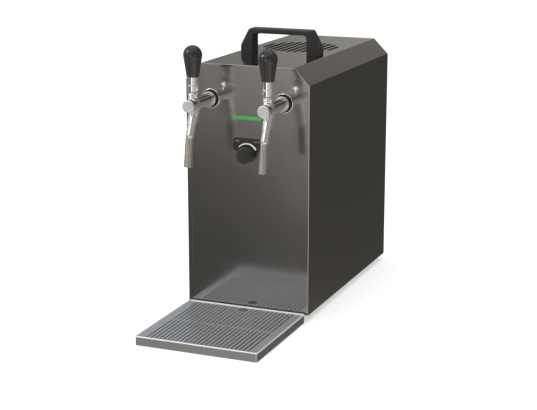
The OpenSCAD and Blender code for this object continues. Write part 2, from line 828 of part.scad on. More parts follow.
function wedge_line(steps) =
    let (at = function (i) scale_from + (scale_to - scale_from) * i / steps,
         inner = function (i) scale_r - scale_thin - (scale_thick - scale_thin) * i / steps)
    [for (i = [0:steps]) scale_r * [cos(at(i)), sin(at(i))],
     for (i = [steps:-1:0]) inner(i) * [cos(at(i)), sin(at(i))]];

module accent_strip() color("limegreen") at_front() translate([0, 0, strip_z])
    plate_y(wall_y - print_t, print_t) square([strip_w, strip_h], center = true);

module thermostat_knob() color(black_plastic) at_front() translate([0, wall_y - dial_t - knob_gap, thermo_z])
    difference() {
        union() {
            bar_y(skirt_d, -skirt_l, 0);
            bar_y(grip_d, -grip_l, -skirt_l);
        }
        bar_y(shaft_d, -knob_bore, overrun);
    }

module thermostat_shaft() color(zinc) at_front() translate([0, 0, thermo_z])
    bar_y(shaft_d, wall_y - dial_t - knob_gap - knob_bore, panel_back_y + shaft_in);

module thermostat_body() color(zinc) at_front() translate([0, 0, thermo_z]) difference() {
    union() {
        translate([0, panel_back_y + thermo_d / 2, -thermo_h / 2]) block([thermo_w, thermo_d, thermo_h]);
        bar_y(bush_d, wall_y, panel_back_y);
    }
    bar_y(shaft_d + 2 * running, wall_y - overrun, panel_back_y + shaft_in + stop_gap);
}

module capillary_tube() color(copper) at_front() {
    top = thermo_z + thermo_h / 2;
    behind = panel_back_y + thermo_d;
    swept(route([[-thermo_w / 4, behind, thermo_z], [-thermo_w / 4, behind + foam_t, thermo_z],
                 [-coil_x / 2, block_y, top], [-coil_x / 2, block_y, foam_top_z]], foam_t / 2), capillary_d);
}

// The barrel with its lever socket, spout sleeve and threaded shank.
module tap_body(side) color(chrome) difference() {
    union() {
        at_tap(side) bar_y(barrel_d, -barrel_out + cap_t, wall_y);
        at_tap(side) bar_y(shank_d, wall_y, tap_line_y);
        at_tap(side) translate([0, -lever_y, 0]) cylinder(d = saddle_d, h = barrel_r - overrun);
        at_tap(side) translate([0, -lever_y, barrel_r - overrun])
            cylinder(d1 = saddle_d, d2 = socket_d, h = 2 * overrun);
        at_tap(side) translate([0, -lever_y, 0]) cylinder(d = socket_d, h = pivot_h);
        at_pivot(side) intersection() {
            sphere(d = socket_d);
            cylinder(d = socket_d, h = rim_h);
        }
        at_spout(side) translate([0, 0, -sleeve_l])
            cylinder(d1 = sleeve_foot_d, d2 = sleeve_top_d, h = sleeve_l);
    }
    at_tap(side) bar_y(cap_plug_d, -barrel_out, -barrel_out + cap_t + cap_plug_l);
    at_tap(side) bar_y(barrel_bore_d, -barrel_out + cap_t, -seat_y - seat_l);
    at_tap(side) bar_y(seat_d, -seat_y - seat_l - overrun, -seat_y + overrun);
    at_tap(side) bar_y(barrel_bore_d, -seat_y, -seat_y + chamber_l);
    at_tap(side) bar_y(shank_bore_d, -seat_y, tap_line_y + overrun);
    at_pivot(side) translate([0, 0, -pivot_h]) cylinder(d = socket_bore_d, h = pivot_h);
    at_tap(side) translate([0, pocket_l / 2 - lever_y, 0])
        block([fork_w + 2 * fork_gap, pocket_l, pocket_h]);
    at_pivot(side) cylinder(d1 = socket_bore_d, d2 = mouth_d, h = rim_h + overrun);
    at_pivot(side) bar_x(pin_d, -socket_d, socket_d);
    at_spout(side) translate([0, 0, -sleeve_l]) cylinder(d = outlet_d, h = sleeve_l);
    at_spout(side) translate([0, 0, -sleeve_l - overrun]) cylinder(d = spout_d, h = spout_in + overrun);
}

// The satin disc that closes the barrel and guides the valve rod.
module tap_cap(side) color(bright_steel) at_tap(side) difference() {
    union() {
        bar_y(barrel_d, -barrel_out, -barrel_out + cap_t);
        bar_y(cap_plug_d, -barrel_out + cap_t, -barrel_out + cap_t + cap_plug_l);
    }
    bar_y(rod_d + 2 * running, -barrel_out + cap_t + cap_floor, -barrel_out + cap_t + cap_plug_l + overrun);
}

// The flared ring round the barrel, as shares of its radius and length.
module wall_collar(side) color(chrome) at_tap(side) translate([0, wall_y, 0]) rotate([90, 0, 0])
    rotate_extrude() {
        flare_shares = [[1, 0], [1, 0.2], [0.95, 0.28], [0.9, 0.24], [0.8, 0.42], [0.73, 0.7],
                        [0.72, 0.86], [0.76, 0.95], [0.72, 1]];
        inside = barrel_r + running;
        polygon([[inside, 0], for (s = flare_shares) [s.x * collar_d / 2, s.y * collar_l],
                 [inside, collar_l]]);
    }

// The chrome tube, with a hollow ball at its bend and a plug below it.
module spout(side) color(chrome) difference() {
    union() {
        at_bend(side) sphere(d = bend_d);
        at_spout(side) translate([0, 0, -sleeve_l - spout_l]) cylinder(d = spout_d, h = spout_l + spout_in);
        at_bend(side) translate([0, 0, -nose - tip_in]) cylinder(d = plug_d, h = nose + tip_in);
    }
    at_bend(side) sphere(d = bend_d - 2 * spout_wall);
    at_spout(side) translate([0, 0, -sleeve_l - spout_l])
        cylinder(d = spout_bore_d, h = spout_l + spout_in + overrun);
    at_bend(side) translate([0, 0, -nose - tip_in - overrun])
        cylinder(d = spout_bore_d, h = nose + tip_in + overrun);
}

// The satin tip, which widens a little towards its open end.
module spout_tip(side) color(bright_steel) at_bend(side) translate([0, 0, -nose - tip_l]) difference() {
    cylinder(d1 = tip_foot_d, d2 = tip_top_d, h = tip_l);
    translate([0, 0, -overrun]) cylinder(d = tip_bore_d, h = tip_l + 2 * overrun);
    translate([0, 0, tip_l - tip_in]) cylinder(d = plug_d, h = tip_in + overrun);
}

// The lever: ball, neck, ring and stem above, arm and fork below.
module lever(side) color(chrome) at_pivot(side) {
    ring_z = rim_h + overrun;
    difference() {
        union() {
            sphere(d = ball_d);
            cylinder(d = neck_d, h = ring_z + ring_h);
        }
        bar_x(pin_d + 2 * running, -ball_d, ball_d);
    }
    difference() {
        translate([0, 0, ring_z]) cylinder(d = ring_d, h = ring_h);
        sphere(d = socket_d + 2 * dome_gap);
    }
    translate([0, 0, ring_z + ring_h]) cylinder(d = stem_d, h = stem_h);
    translate([0, 0, ring_z + ring_h + stem_h]) cylinder(d = stud_d, h = stud_l);
    translate([0, 0, -pivot_h + flange_d / 2]) cylinder(d = arm_d, h = pivot_h - flange_d / 2 - pin_d);
    difference() {
        union() {
            translate([0, 0, -pivot_h]) block([fork_w, fork_t, flange_d / 2 + fork_t]);
            translate([0, 0, -pivot_h]) bar_x(fork_d, -fork_w / 2, fork_w / 2);
        }
        translate([0, 0, -pivot_h - fork_d])
            block([rod_d + 2 * fork_gap, fork_d + 2 * overrun, fork_d + rod_d / 2 + 2 * fork_gap]);
    }
}

// The black knob: a straight cone under a dome.
module lever_knob(side) color(black_plastic) at_pivot(side)
    translate([0, 0, rim_h + overrun + ring_h + stem_h]) difference() {
        dome_h = knob_h - knob_d / 2;
        union() {
            cylinder(d1 = knob_foot_d, d2 = knob_d, h = dome_h);
            translate([0, 0, dome_h]) intersection() {
                sphere(d = knob_d);
                cylinder(d = knob_d, h = knob_d);
            }
        }
        translate([0, 0, -overrun]) cylinder(d = stud_d, h = stud_l + overrun);
    }

// The valve rod with its two flanges and its head.
module plunger(side) color(bright_steel) at_tap(side) {
    bar_y(rod_d, -barrel_out + cap_t + cap_floor + rod_gap, -seat_y + stop_gap);
    bar_y(head_d, -seat_y + stop_gap, -seat_y + stop_gap + head_l);
    for (s = [-1, 1]) translate([0, -lever_y + s * (flange_gap + flange_t / 2), 0])
        bar_y(flange_d, -flange_t / 2, flange_t / 2);
}

module tap_nuts() color(zinc) for (s = [-1, 1]) at_tap(s) difference() {
    translate([0, panel_back_y, 0]) rotate([-90, 0, 0]) cylinder(d = nut_d, h = nut_t, $fn = 6);
    bar_y(shank_d, panel_back_y - overrun, panel_back_y + nut_t + overrun);
}

module pivot_pins() color(zinc) for (s = [-1, 1]) at_pivot(s) bar_x(pin_d, -socket_d / 2, socket_d / 2);

// Places a child in the middle of the drip tray, on the table.
module at_tray() translate([0, front_y - tray_gap - tray_d / 2, 0]) children();

module drip_pan() color(bright_steel) at_tray() difference() {
    block([tray_w, tray_d, tray_h]);
    translate([0, 0, tray_t]) block([tray_w - 2 * tray_t, tray_d - 2 * tray_t, tray_h]);
}

// The grid's slots in two rows, each slot as its x, the y of its middle and its length. Those
// that run towards the finger hole end before it.
function grid_slots() =
    let (last = floor((grid_w - 2 * grid_side - grid_slot_w) / 2 / grid_step),
         front = grid_front - grid_d / 2, back = grid_d / 2 - grid_back,
         hole_front = grid_d / 2 - finger_y - finger_d / 2 - grid_bridge,
         near = (finger_d + grid_slot_w) / 2 + grid_bridge)
    [for (i = [-last:last]) let (x = i * grid_step)
        for (ends = [[front, -grid_bridge / 2], [grid_bridge / 2, abs(x) < near ? hole_front : back]])
            [x, (ends[0] + ends[1]) / 2, ends[1] - ends[0]]];

module drip_grid() color(bright_steel) at_tray() {
    translate([0, 0, grid_top - grid_t]) linear_extrude(grid_t) difference() {
        square([grid_w, grid_d], center = true);
        for (p = grid_slots()) translate([p.x, p.y]) slot(grid_slot_w, p.z);
        translate([0, grid_d / 2 - finger_y]) circle(d = finger_d);
    }
    translate([0, 0, tray_t]) difference() {
        block([grid_w, grid_d, grid_top - tray_t - grid_t]);
        translate([0, 0, -overrun]) block([grid_w - 2 * grid_t, grid_d - 2 * grid_t, tray_h]);
    }
}

// Six boards of foam round the block: floor and lid, front and back, and two sides.
module insulation_boards() color(foam) at_front() translate([0, foam_y + foam_d / 2, base_t]) {
    block([foam_w, foam_d, foam_t]);
    difference() {
        translate([0, 0, foam_h - foam_t]) block([foam_w, foam_d, foam_t]);
        for (x = [-coil_x, 0, coil_x]) for (s = [-1, 1])
            translate([x, s * (coil_back_y - coil_front_y) / 2, foam_h - foam_t - overrun])
                cylinder(d = coil_d + 2 * running, h = foam_t + 2 * overrun);
    }
    for (s = [-1, 1]) translate([0, s * (foam_d - foam_t) / 2, foam_t]) block([foam_w, foam_t, block_h]);
    for (s = [-1, 1]) translate([s * (foam_w - foam_t) / 2, 0, foam_t])
        block([foam_t, block_d, block_h]);
}

// A flat coil of straight runs and half-round bends, in the plane X = 0.
module serpentine(d, runs, step, low, high, end) {
    first = -(runs - 1) * step / 2;
    for (i = [0:runs - 1]) {
        top = i == 0 || i == runs - 1 ? end : high;
        translate([0, first + i * step, low]) cylinder(d = d, h = top - low);
    }
    for (i = [0:runs - 2]) translate([0, first + (i + 0.5) * step, i % 2 == 0 ? low : high])
        rotate([i % 2 == 0 ? -90 : 90, 0, 90])
            rotate_extrude(angle = 180) translate([step / 2, 0]) circle(d = d);
}

// The coil's shape in the block, for the coil itself and for the hollow that it fills.
module coil_shape(x, d) translate([x, block_y, 0]) serpentine(d, coil_runs, coil_step,
    block_z + coil_low + coil_step / 2, block_z + block_h - coil_low - coil_step / 2, coil_end_z);

module cooling_block() color(aluminium) at_front() difference() {
    translate([0, block_y, block_z]) block([block_w, block_d, block_h]);
    for (x = [-coil_x, 0, coil_x]) coil_shape(x, coil_d + 2 * running);
}

module beer_coils() color(bright_steel) at_front() for (s = [-1, 1]) coil_shape(s * coil_x, coil_d);

module evaporator_coil() color(copper) at_front() coil_shape(0, coil_d);

module tap_lines() color(clear_line) at_front() for (s = [-1, 1]) {
    rise = coil_end_z + line_rise;
    swept(route([[s * coil_x, coil_front_y, coil_end_z], [s * coil_x, coil_front_y, rise],
                 [s * tap_x, tap_line_y + bend, tap_z], [s * tap_x, tap_line_y, tap_z]], bend), line_d);
}

module supply_lines() color(clear_line) at_front() for (s = [-1, 1]) {
    tail_y = back_in_y - tail_l;
    turn_y = foam_y + foam_d + bend / 2;
    swept(route([[s * inlet_x, tail_y, inlet_z], [s * inlet_x, tail_y - bend, inlet_z],
                 [s * side_run_x, tail_y - 2 * bend, inlet_z], [s * side_run_x, turn_y, inlet_z],
                 [s * side_run_x, turn_y, cross_z], [s * coil_x, coil_back_y, cross_z],
                 [s * coil_x, coil_back_y, coil_end_z]], bend / 2), line_d);
}

// Discharge, liquid and suction lines of the refrigerant circuit.
module refrigerant_lines() color(copper) at_front() {
    stub_z = comp_z + comp_h + stub_l;
    over_z = cross_z - bend;
    swept(route([[-stub_x, comp_y, stub_z], [-stub_x, comp_y, over_z],
                 [-cond_end_x - bend / 2, cond_front_y, over_z],
                 [-cond_end_x - bend / 2, cond_front_y, cond_mid_z],
                 [-cond_end_x, cond_front_y, cond_mid_z]], bend / 2), pipe_d);
    swept(route([[-cond_end_x, cond_back_y, cond_mid_z], [-cond_end_x - bend / 4, cond_back_y, cond_mid_z],
                 [-cond_end_x - bend / 4, cond_back_y, over_z - bend / 2],
                 [-cond_end_x - bend / 4, cond_front_y - bend / 2, over_z - bend / 2],
                 [0, cond_front_y - bend / 2, over_z], [0, coil_back_y, cross_z],
                 [0, coil_back_y, coil_end_z]], bend / 2), pipe_d);
    swept(route([[0, coil_front_y, coil_end_z], [0, coil_front_y, cross_z],
                 [stub_x, foam_y + foam_d + bend / 4, cross_z], [stub_x, comp_y, over_z - bend],
                 [stub_x, comp_y, stub_z]], bend / 2), pipe_d);
}

// The compressor's shell: a barrel with domed ends and a weld seam.
module compressor_shell() color(black_plastic) at_front() translate([0, comp_y, comp_z]) {
    r = comp_d / 2;
    difference() {
        union() {
            rotate_extrude() polygon(shell_line(r, comp_h));
            translate([0, 0, comp_h / 2]) cylinder(r = r + seam_out, h = comp_wall);
            for (s = [-1, 1]) translate([s * stub_x, 0, comp_h - stub_l])
                cylinder(d = pipe_d, h = 2 * stub_l);
        }
        translate([0, 0, comp_wall]) rotate_extrude()
            polygon(shell_line(r - comp_wall, comp_h - 2 * comp_wall));
    }
    difference() {
        translate([0, 0, -comp_plate_t]) block([comp_plate_w, comp_plate_d, comp_plate_t]);
        for (p = grommet_places()) translate([p.x, p.y, -comp_plate_t - overrun])
            cylinder(d = comp_stud_d, h = comp_plate_t + 2 * overrun);
    }
}

// Half section of a barrel with a flat foot and an elliptic dome of half its radius.
function shell_line(r, h) =
    let (steps = 10)
    [[0, 0], [r * 0.8, 0], [r, r * 0.2],
     for (i = [0:steps]) let (a = 90 * i / steps) [r * cos(a), h - r / 2 + r / 2 * sin(a)]];

// Places of the grommets, in from the corners of the foot plate.
function grommet_places() =
    let (x = (comp_plate_w - grommet_d) / 2, y = (comp_plate_d - grommet_d) / 2)
    [for (sx = [-1, 1]) for (sy = [-1, 1]) [sx * x, sy * y]];

module compressor_motor() color(zinc) at_front() translate([0, comp_y, comp_z + comp_wall])
    cylinder(d = motor_d, h = motor_h);

module compressor_grommets() color(rubber) at_front() for (p = grommet_places())
    translate([p.x, comp_y + p.y, base_t]) difference() {
        cylinder(d = grommet_d, h = grommet_h);
        translate([0, 0, -overrun]) cylinder(d = comp_stud_d, h = grommet_h + 2 * overrun);
    }

module compressor_studs() color(zinc) at_front() for (p = grommet_places())
    translate([p.x, comp_y + p.y, base_t]) {
        cylinder(d = comp_stud_d, h = grommet_h + comp_plate_t + 2 * stud_nut_t);
        translate([0, 0, grommet_h + comp_plate_t]) cylinder(d = stud_nut_d, h = stud_nut_t, $fn = 6);
    }

// Places of the condenser's tube runs along Y.
function cond_places() = [for (i = [0:cond_runs - 1]) cond_front_y + i * cond_step];

module condenser_fins() color(aluminium) at_front() difference() {
    step = (fin_span - fin_t) / (fin_count - 1);
    for (i = [0:fin_count - 1]) translate([-fin_span / 2 + fin_t / 2 + i * step, vent_y, cond_z])
        block([fin_t, fin_d, fin_h]);
    for (y = cond_places()) translate([0, y, cond_mid_z]) bar_x(cond_tube_d, -fin_span, fin_span);
}

module condenser_tube() color(copper) at_front() translate([0, vent_y, cond_mid_z]) rotate([0, -90, 0])
    serpentine(cond_tube_d, cond_runs, cond_step, -cond_end_x, cond_end_x, cond_end_x);

// Plate, duct and motor arms, with the two brackets that carry the condenser.
module fan_shroud() color(zinc) at_front() translate([0, vent_y, 0]) {
    translate([0, 0, shroud_z]) difference() {
        block([inner_w, shroud_d, shroud_t]);
        translate([0, 0, -overrun]) cylinder(d = duct_d, h = shroud_t + 2 * overrun);
    }
    translate([0, 0, shroud_z + shroud_t]) difference() {
        cylinder(d = duct_d + 2 * shroud_t, h = roof_in_z - shroud_z - shroud_t);
        translate([0, 0, -overrun]) cylinder(d = duct_d, h = roof_in_z);
    }
    for (s = [-1, 1]) translate([s * (inner_w - shroud_t) / 2, 0, shroud_z - shroud_edge_h])
        block([shroud_t, shroud_d, shroud_edge_h]);
    for (a = [0, 90]) rotate(a) translate([0, 0, arm_z]) block([duct_d + shroud_t, arm_w, arm_t]);
    translate([0, 0, arm_z]) cylinder(d = fan_motor_d, h = arm_t);
    difference() {
        for (s = [-1, 1]) translate([s * (fin_span + bracket_t) / 2, 0, cond_z])
            block([bracket_t, fin_d, shroud_z - cond_z]);
        for (y = cond_places()) translate([0, y - vent_y, cond_mid_z])
            bar_x(cond_tube_d + 2 * running, -fin_span, fin_span);
    }
}

module fan_motor() color(black_plastic) at_front() translate([0, vent_y, fan_motor_z]) {
    cylinder(d = fan_motor_d, h = fan_motor_h);
    cylinder(d = fan_shaft_d, h = fan_motor_h + hub_h);
}

// Hub and slanted blades, trimmed to the fan's diameter.
module fan_rotor() color(black_plastic) at_front() translate([0, vent_y, rotor_z]) difference() {
    union() {
        cylinder(d = hub_d, h = hub_h);
        intersection() {
            cylinder(d = fan_d, h = hub_h);
            for (i = [0:blade_count - 1]) rotate(360 * i / blade_count)
                translate([fan_d / 4, 0, hub_h / 2]) rotate([blade_tilt, 0, 0])
                    cube([fan_d / 2, hub_h / sin(blade_tilt), blade_t], center = true);
        }
    }
    translate([0, 0, -overrun]) cylinder(d = fan_shaft_d + 2 * running, h = hub_h + 2 * overrun);
}

module air_pump() color(black_plastic) at_front()
    translate([0, back_in_y - base_t - pump_d / 2, base_t]) block([pump_w, pump_d, pump_h]);

// Push-in fittings for the beer tubes, with a stepped bore for collet and tube.
module beer_inlets() color(bright_steel) at_front() for (s = [-1, 1]) translate([s * inlet_x, 0, inlet_z])
    difference() {
        end_y = back_out_y + inlet_l;
        union() {
            bar_y(inlet_d, back_out_y, end_y);
            bar_y(tail_d, back_in_y - tail_l, back_out_y);
        }
        bar_y(collet_d + 2 * running, end_y - collet_in - collet_travel - stop_gap, end_y + overrun);
        bar_y(inlet_bore_d, back_in_y - tail_l - overrun, end_y);
    }

// The collet that frees the tube when it is pressed in.
module collet(side) color(black_plastic) at_front() translate([side * inlet_x, 0, inlet_z]) difference() {
    end_y = back_out_y + inlet_l;
    union() {
        bar_y(collet_d, end_y - collet_in, end_y + collet_out);
        bar_y(collet_head_d, end_y + collet_out - collet_head_t, end_y + collet_out);
    }
    bar_y(tube_d, end_y - collet_in - overrun, end_y + collet_out + overrun);
}

// Barbed tails for the air hoses.
module air_outlets() color("gold") at_front() for (s = [-1, 1])
    translate([s * barb_x, 0, barb_z]) difference() {
        union() {
            bar_y(barb_d, back_in_y - base_t, back_out_y + barb_l);
            for (share = barb_place_shares) translate([0, back_out_y + barb_l * share, 0])
                rotate([-90, 0, 0]) cylinder(d1 = barb_d + barb_rise, d2 = barb_d, h = barb_l / 8);
        }
        bar_y(barb_bore_d, back_in_y - base_t - overrun, back_out_y + barb_l + overrun);
    }

// Open frames that hold the rockers in the back panel.
module switch_frames() color(black_plastic) at_front() for (x = [-power_x, -pump_x])
    translate([x, 0, switch_z]) difference() {
        union() {
            plate_y(back_out_y, bezel_t) square([for (v = rocker_hole) v + 2 * frame_border], center = true);
            plate_y(back_in_y - frame_in, frame_in + back_t)
                square([for (v = rocker_hole) v + frame_border], center = true);
        }
        plate_y(back_out_y - rocker_h / 2, rocker_h) square(rocker_hole, center = true);
    }

// A rocker, round behind and dished in front, tilted to its off side.
module rocker(x) color(black_plastic) at_front() translate([x, back_out_y + bezel_t, switch_z])
    rotate([-rocker_tilt, 0, 0]) intersection() {
        bar_x(rocker_h, -rocker_w / 2, rocker_w / 2);
        rotate([90, 0, 90]) translate([0, 0, -rocker_w / 2]) linear_extrude(rocker_w) polygon([
            [-rocker_deep, -rocker_h / 2], [rocker_end, -rocker_h / 2], [rocker_waist, 0],
            [rocker_end, rocker_h / 2], [-rocker_deep, rocker_h / 2]]);
    }

module cord_gland() color(black_plastic) at_front() translate([gland_x, 0, switch_z]) difference() {
    union() {
        bar_y(gland_d, back_out_y, back_out_y + gland_l);
        bar_y(gland_neck_d, back_in_y - gland_l, back_out_y);
    }
    bar_y(cord_d, back_in_y - gland_l - overrun, back_out_y + gland_l + overrun);
}

module left_tap_body() tap_body(-1);
module right_tap_body() tap_body(1);
module left_tap_cap() tap_cap(-1);
module right_tap_cap() tap_cap(1);
module left_wall_collar() wall_collar(-1);
module right_wall_collar() wall_collar(1);
module left_spout() spout(-1);
module right_spout() spout(1);
module left_spout_tip() spout_tip(-1);
module right_spout_tip() spout_tip(1);
module left_lever() lever(-1);
module right_lever() lever(1);
module left_lever_knob() lever_knob(-1);
module right_lever_knob() lever_knob(1);
module left_plunger() plunger(-1);
module right_plunger() plunger(1);
module left_collet() collet(-1);
module right_collet() collet(1);
module power_rocker() rocker(-power_x);
module pump_rocker() rocker(-pump_x);

casing_cover();
front_panel();
back_panel();
base_pan();
rubber_feet();
carry_handle();
handle_screws();
back_screws();
dial_plate();
dial_scale();
accent_strip();
thermostat_knob();
thermostat_shaft();
thermostat_body();
capillary_tube();
left_tap_body();
right_tap_body();
left_tap_cap();
right_tap_cap();
left_wall_collar();
right_wall_collar();
left_spout();
right_spout();
left_spout_tip();
right_spout_tip();
left_lever();
right_lever();
left_lever_knob();
right_lever_knob();
left_plunger();
right_plunger();
tap_nuts();
pivot_pins();
drip_pan();
drip_grid();
insulation_boards();
cooling_block();
beer_coils();
evaporator_coil();
tap_lines();
supply_lines();
refrigerant_lines();
compressor_shell();
compressor_motor();
compressor_grommets();
compressor_studs();
condenser_fins();
condenser_tube();
fan_shroud();
fan_motor();
fan_rotor();
air_pump();
beer_inlets();
left_collet();
right_collet();
air_outlets();
switch_frames();
power_rocker();
pump_rocker();
cord_gland();
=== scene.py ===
# %% [markdown]
# # Dressing a countertop beer dispenser
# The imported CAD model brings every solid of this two-tap beer cooler in its real place, in
# metres. The cells below give it its looks. Parts whose CAD solids are already right, such as
# the punched drip grid, only get a finish. Parts that the eye rests on are made again as
# smooth surfaces worked out with numpy, and each stands exactly where its solid stood.

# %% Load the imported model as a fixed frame
import math

import bmesh
import bpy
import numpy as np
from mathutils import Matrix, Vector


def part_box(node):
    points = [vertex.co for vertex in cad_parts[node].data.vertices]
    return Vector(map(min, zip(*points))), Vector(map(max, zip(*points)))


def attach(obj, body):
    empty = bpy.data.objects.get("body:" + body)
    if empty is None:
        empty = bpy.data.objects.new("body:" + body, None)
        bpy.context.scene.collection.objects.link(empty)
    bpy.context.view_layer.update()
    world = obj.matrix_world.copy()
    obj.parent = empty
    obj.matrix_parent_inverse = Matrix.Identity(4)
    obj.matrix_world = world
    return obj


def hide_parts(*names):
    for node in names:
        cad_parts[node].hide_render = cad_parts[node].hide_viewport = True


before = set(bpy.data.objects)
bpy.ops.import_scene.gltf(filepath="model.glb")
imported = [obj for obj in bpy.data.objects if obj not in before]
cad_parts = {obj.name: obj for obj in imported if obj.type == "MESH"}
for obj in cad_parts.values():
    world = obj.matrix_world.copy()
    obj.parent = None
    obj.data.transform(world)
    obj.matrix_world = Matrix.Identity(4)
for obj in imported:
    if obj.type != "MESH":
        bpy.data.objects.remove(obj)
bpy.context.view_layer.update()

# %% [markdown]
# ## One set of coordinates for the maker
# A drawing of this machine is measured in millimetres from the middle of the casing's lower
# front edge. The same coordinates are used here, and a single step at the end turns them into
# metres in the frame of the CAD model.

# %% The drawing's origin in the frame
MM = 0.001
casing_low, casing_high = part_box("casing_cover")
ORIGIN = np.array([0, casing_low.y, casing_low.z])
BODY_W, BODY_D, BODY_H = (np.array(casing_high - casing_low) / MM).round(3)
print("casing:", BODY_W, BODY_D, BODY_H, "mm, its origin at", ORIGIN.round(4))

# %% [markdown]
# ## Surfaces from grids
# Nearly every part here was bent, drawn or turned, so its surface is a grid: one direction
# runs round or across the section, the other along the part. A grid of points becomes quads
# by joining each point to its neighbours, which numpy does for all of them at once.


# %% A grid of points becomes a shell
def grid_shell(points, close_rows=False, close_columns=False, caps=()):
    """Face (i, j) joins the points (i, j), (i + 1, j), (i + 1, j + 1) and (i, j + 1), and each
    row named in caps is closed by one flat face."""
    points = np.asarray(points, float)
    rows, columns = points.shape[:2]
    i, j = np.meshgrid(np.arange(rows - (not close_rows)),
                       np.arange(columns - (not close_columns)), indexing="ij")
    up, right = (i + 1) % rows, (j + 1) % columns
    quads = np.stack([i * columns + j, up * columns + j, up * columns + right, i * columns + right], -1)
    faces = quads.reshape(-1, 4).tolist()
    faces += [(row % rows * columns + np.arange(columns)).tolist() for row in caps]
    return points.reshape(-1, 3), faces


print("a grid of 3 by 4 points has", len(grid_shell(np.zeros((3, 4, 3)))[1]), "faces")


# %% Move a shell
def moved(shell, by=(0, 0, 0), tilt=0):
    """The shell turned by tilt degrees about the X axis, then shifted."""
    c, s = math.cos(math.radians(tilt)), math.sin(math.radians(tilt))
    turn = np.array([[1, 0, 0], [0, c, -s], [0, s, c]])
    return shell[0] @ turn.T + np.array(by, float), shell[1]


up = (np.array([[0, 0, 1.0]]), [])
print("up, tilted by 90 degrees, points to", moved(up, tilt=90)[0].round(3))

# %% [markdown]
# A turned part is one profile swung round an axis. Its edges are never perfectly sharp, so
# profiles and outlines are drawn with corners and the corners are then rounded, which also
# gives each edge the thin highlight that makes metal look like metal.


# %% Round the corners of an outline
def rounded_line(corners, radii, steps=5, closed=False, guard=0.25):
    """At corner b with unit directions u and v to its neighbours and half the angle h between
    them, the arc's centre is b + r / sin h along u + v, and its points swing from u's side to
    v's. Two guard points beside each arc keep the flat faces next to it flat in the shading."""
    b = np.asarray(corners, float)
    r = np.broadcast_to(np.asarray(radii, float), len(b))[:, None]
    to = np.stack([np.roll(b, 1, 0) - b, np.roll(b, -1, 0) - b])
    u, v = to / np.maximum(np.linalg.norm(to, axis=-1, keepdims=True), 1e-9)
    half = np.arccos(np.clip((u * v).sum(-1, keepdims=True), -1, 1)) / 2
    inward = (u + v) / np.maximum(np.linalg.norm(u + v, axis=-1, keepdims=True), 1e-9)
    beside = (v - u) / np.maximum(np.linalg.norm(v - u, axis=-1, keepdims=True), 1e-9)
    swing = np.linspace(-1, 1, steps + 1)[None, :] * (math.pi / 2 - half)
    centre = b + inward * r / np.sin(half)
    arc = centre[:, None] + r[:, None] * (beside[:, None] * np.sin(swing)[..., None]
                                          - inward[:, None] * np.cos(swing)[..., None])
    reach = r / np.tan(half)
    guards = np.where(r > 0, guard, 0)
    line = np.concatenate([(b + u * (reach + guards))[:, None], arc,
                           (b + v * (reach + guards))[:, None]], 1)
    if closed:
        return line.reshape(-1, b.shape[1])
    return np.concatenate([b[:1], line[1:-1].reshape(-1, b.shape[1]), b[-1:]])


def rounded_box_line(width, height, radius, steps=5, guard=0.25):
    """The outline of a rectangle round the origin with four equal round corners."""
    x, y = width / 2, height / 2
    return rounded_line([(-x, -y), (x, -y), (x, y), (-x, y)], radius, steps, True, guard)


print("a rounded square has", len(rounded_box_line(10, 10, 2)), "points")


# %% Swing a profile round an axis
def turned(profile, foot=(0, 0, 0), axis="z", sides=64, ribs=None):
    """Point (i, j) lies at height h_i and at radius r_i times ribs(angle_j, h_i), where profile
    gives the pairs (r, h). A profile that leaves the axis open is joined into a closed ring."""
    r, h = np.asarray(profile, float).T[:, :, None]
    angle = 2 * math.pi * np.arange(sides)[None, :] / sides
    r = r * (ribs(angle, h) if ribs else 1)
    across, up, along = r * np.cos(angle), r * np.sin(angle), h + 0 * angle
    points = {"z": (across, up, along), "y": (across, along, up), "x": (along, across, up)}[axis]
    open_axis = profile[0][0] > 0
    shell = grid_shell(np.stack(points, -1), close_rows=open_axis, close_columns=True)
    return moved(shell, foot)


print("a turned disc has", len(turned([(0, 0), (1, 0), (1, 1), (0, 1)])[1]), "faces")

# %% [markdown]
# ## Finishes as small expressions
# A finish is a node tree, but a tree is easier to read as a sum. `Wire` wraps one socket, and
# adding or multiplying two wires adds the Math node that does it. Every other node comes from
# `Recipe.node`, which takes its type, its settings and what goes into its sockets.


# %% Wires and recipes
class Wire:
    """A socket that can stand in an expression. Each operator adds one Math node."""

    def __init__(self, recipe, socket):
        self.recipe, self.socket = recipe, socket

    def math(self, operation, other=0.0, swap=False):
        first, second = (other, self) if swap else (self, other)
        return self.recipe.node("ShaderNodeMath", {"operation": operation}, {0: first, 1: second})

    def __add__(self, other):
        return self.math("ADD", other)

    def __mul__(self, other):
        return self.math("MULTIPLY", other)

    def __sub__(self, other):
        return self.math("SUBTRACT", other)

    def __rsub__(self, other):
        return self.math("SUBTRACT", other, swap=True)

    __radd__ = __add__


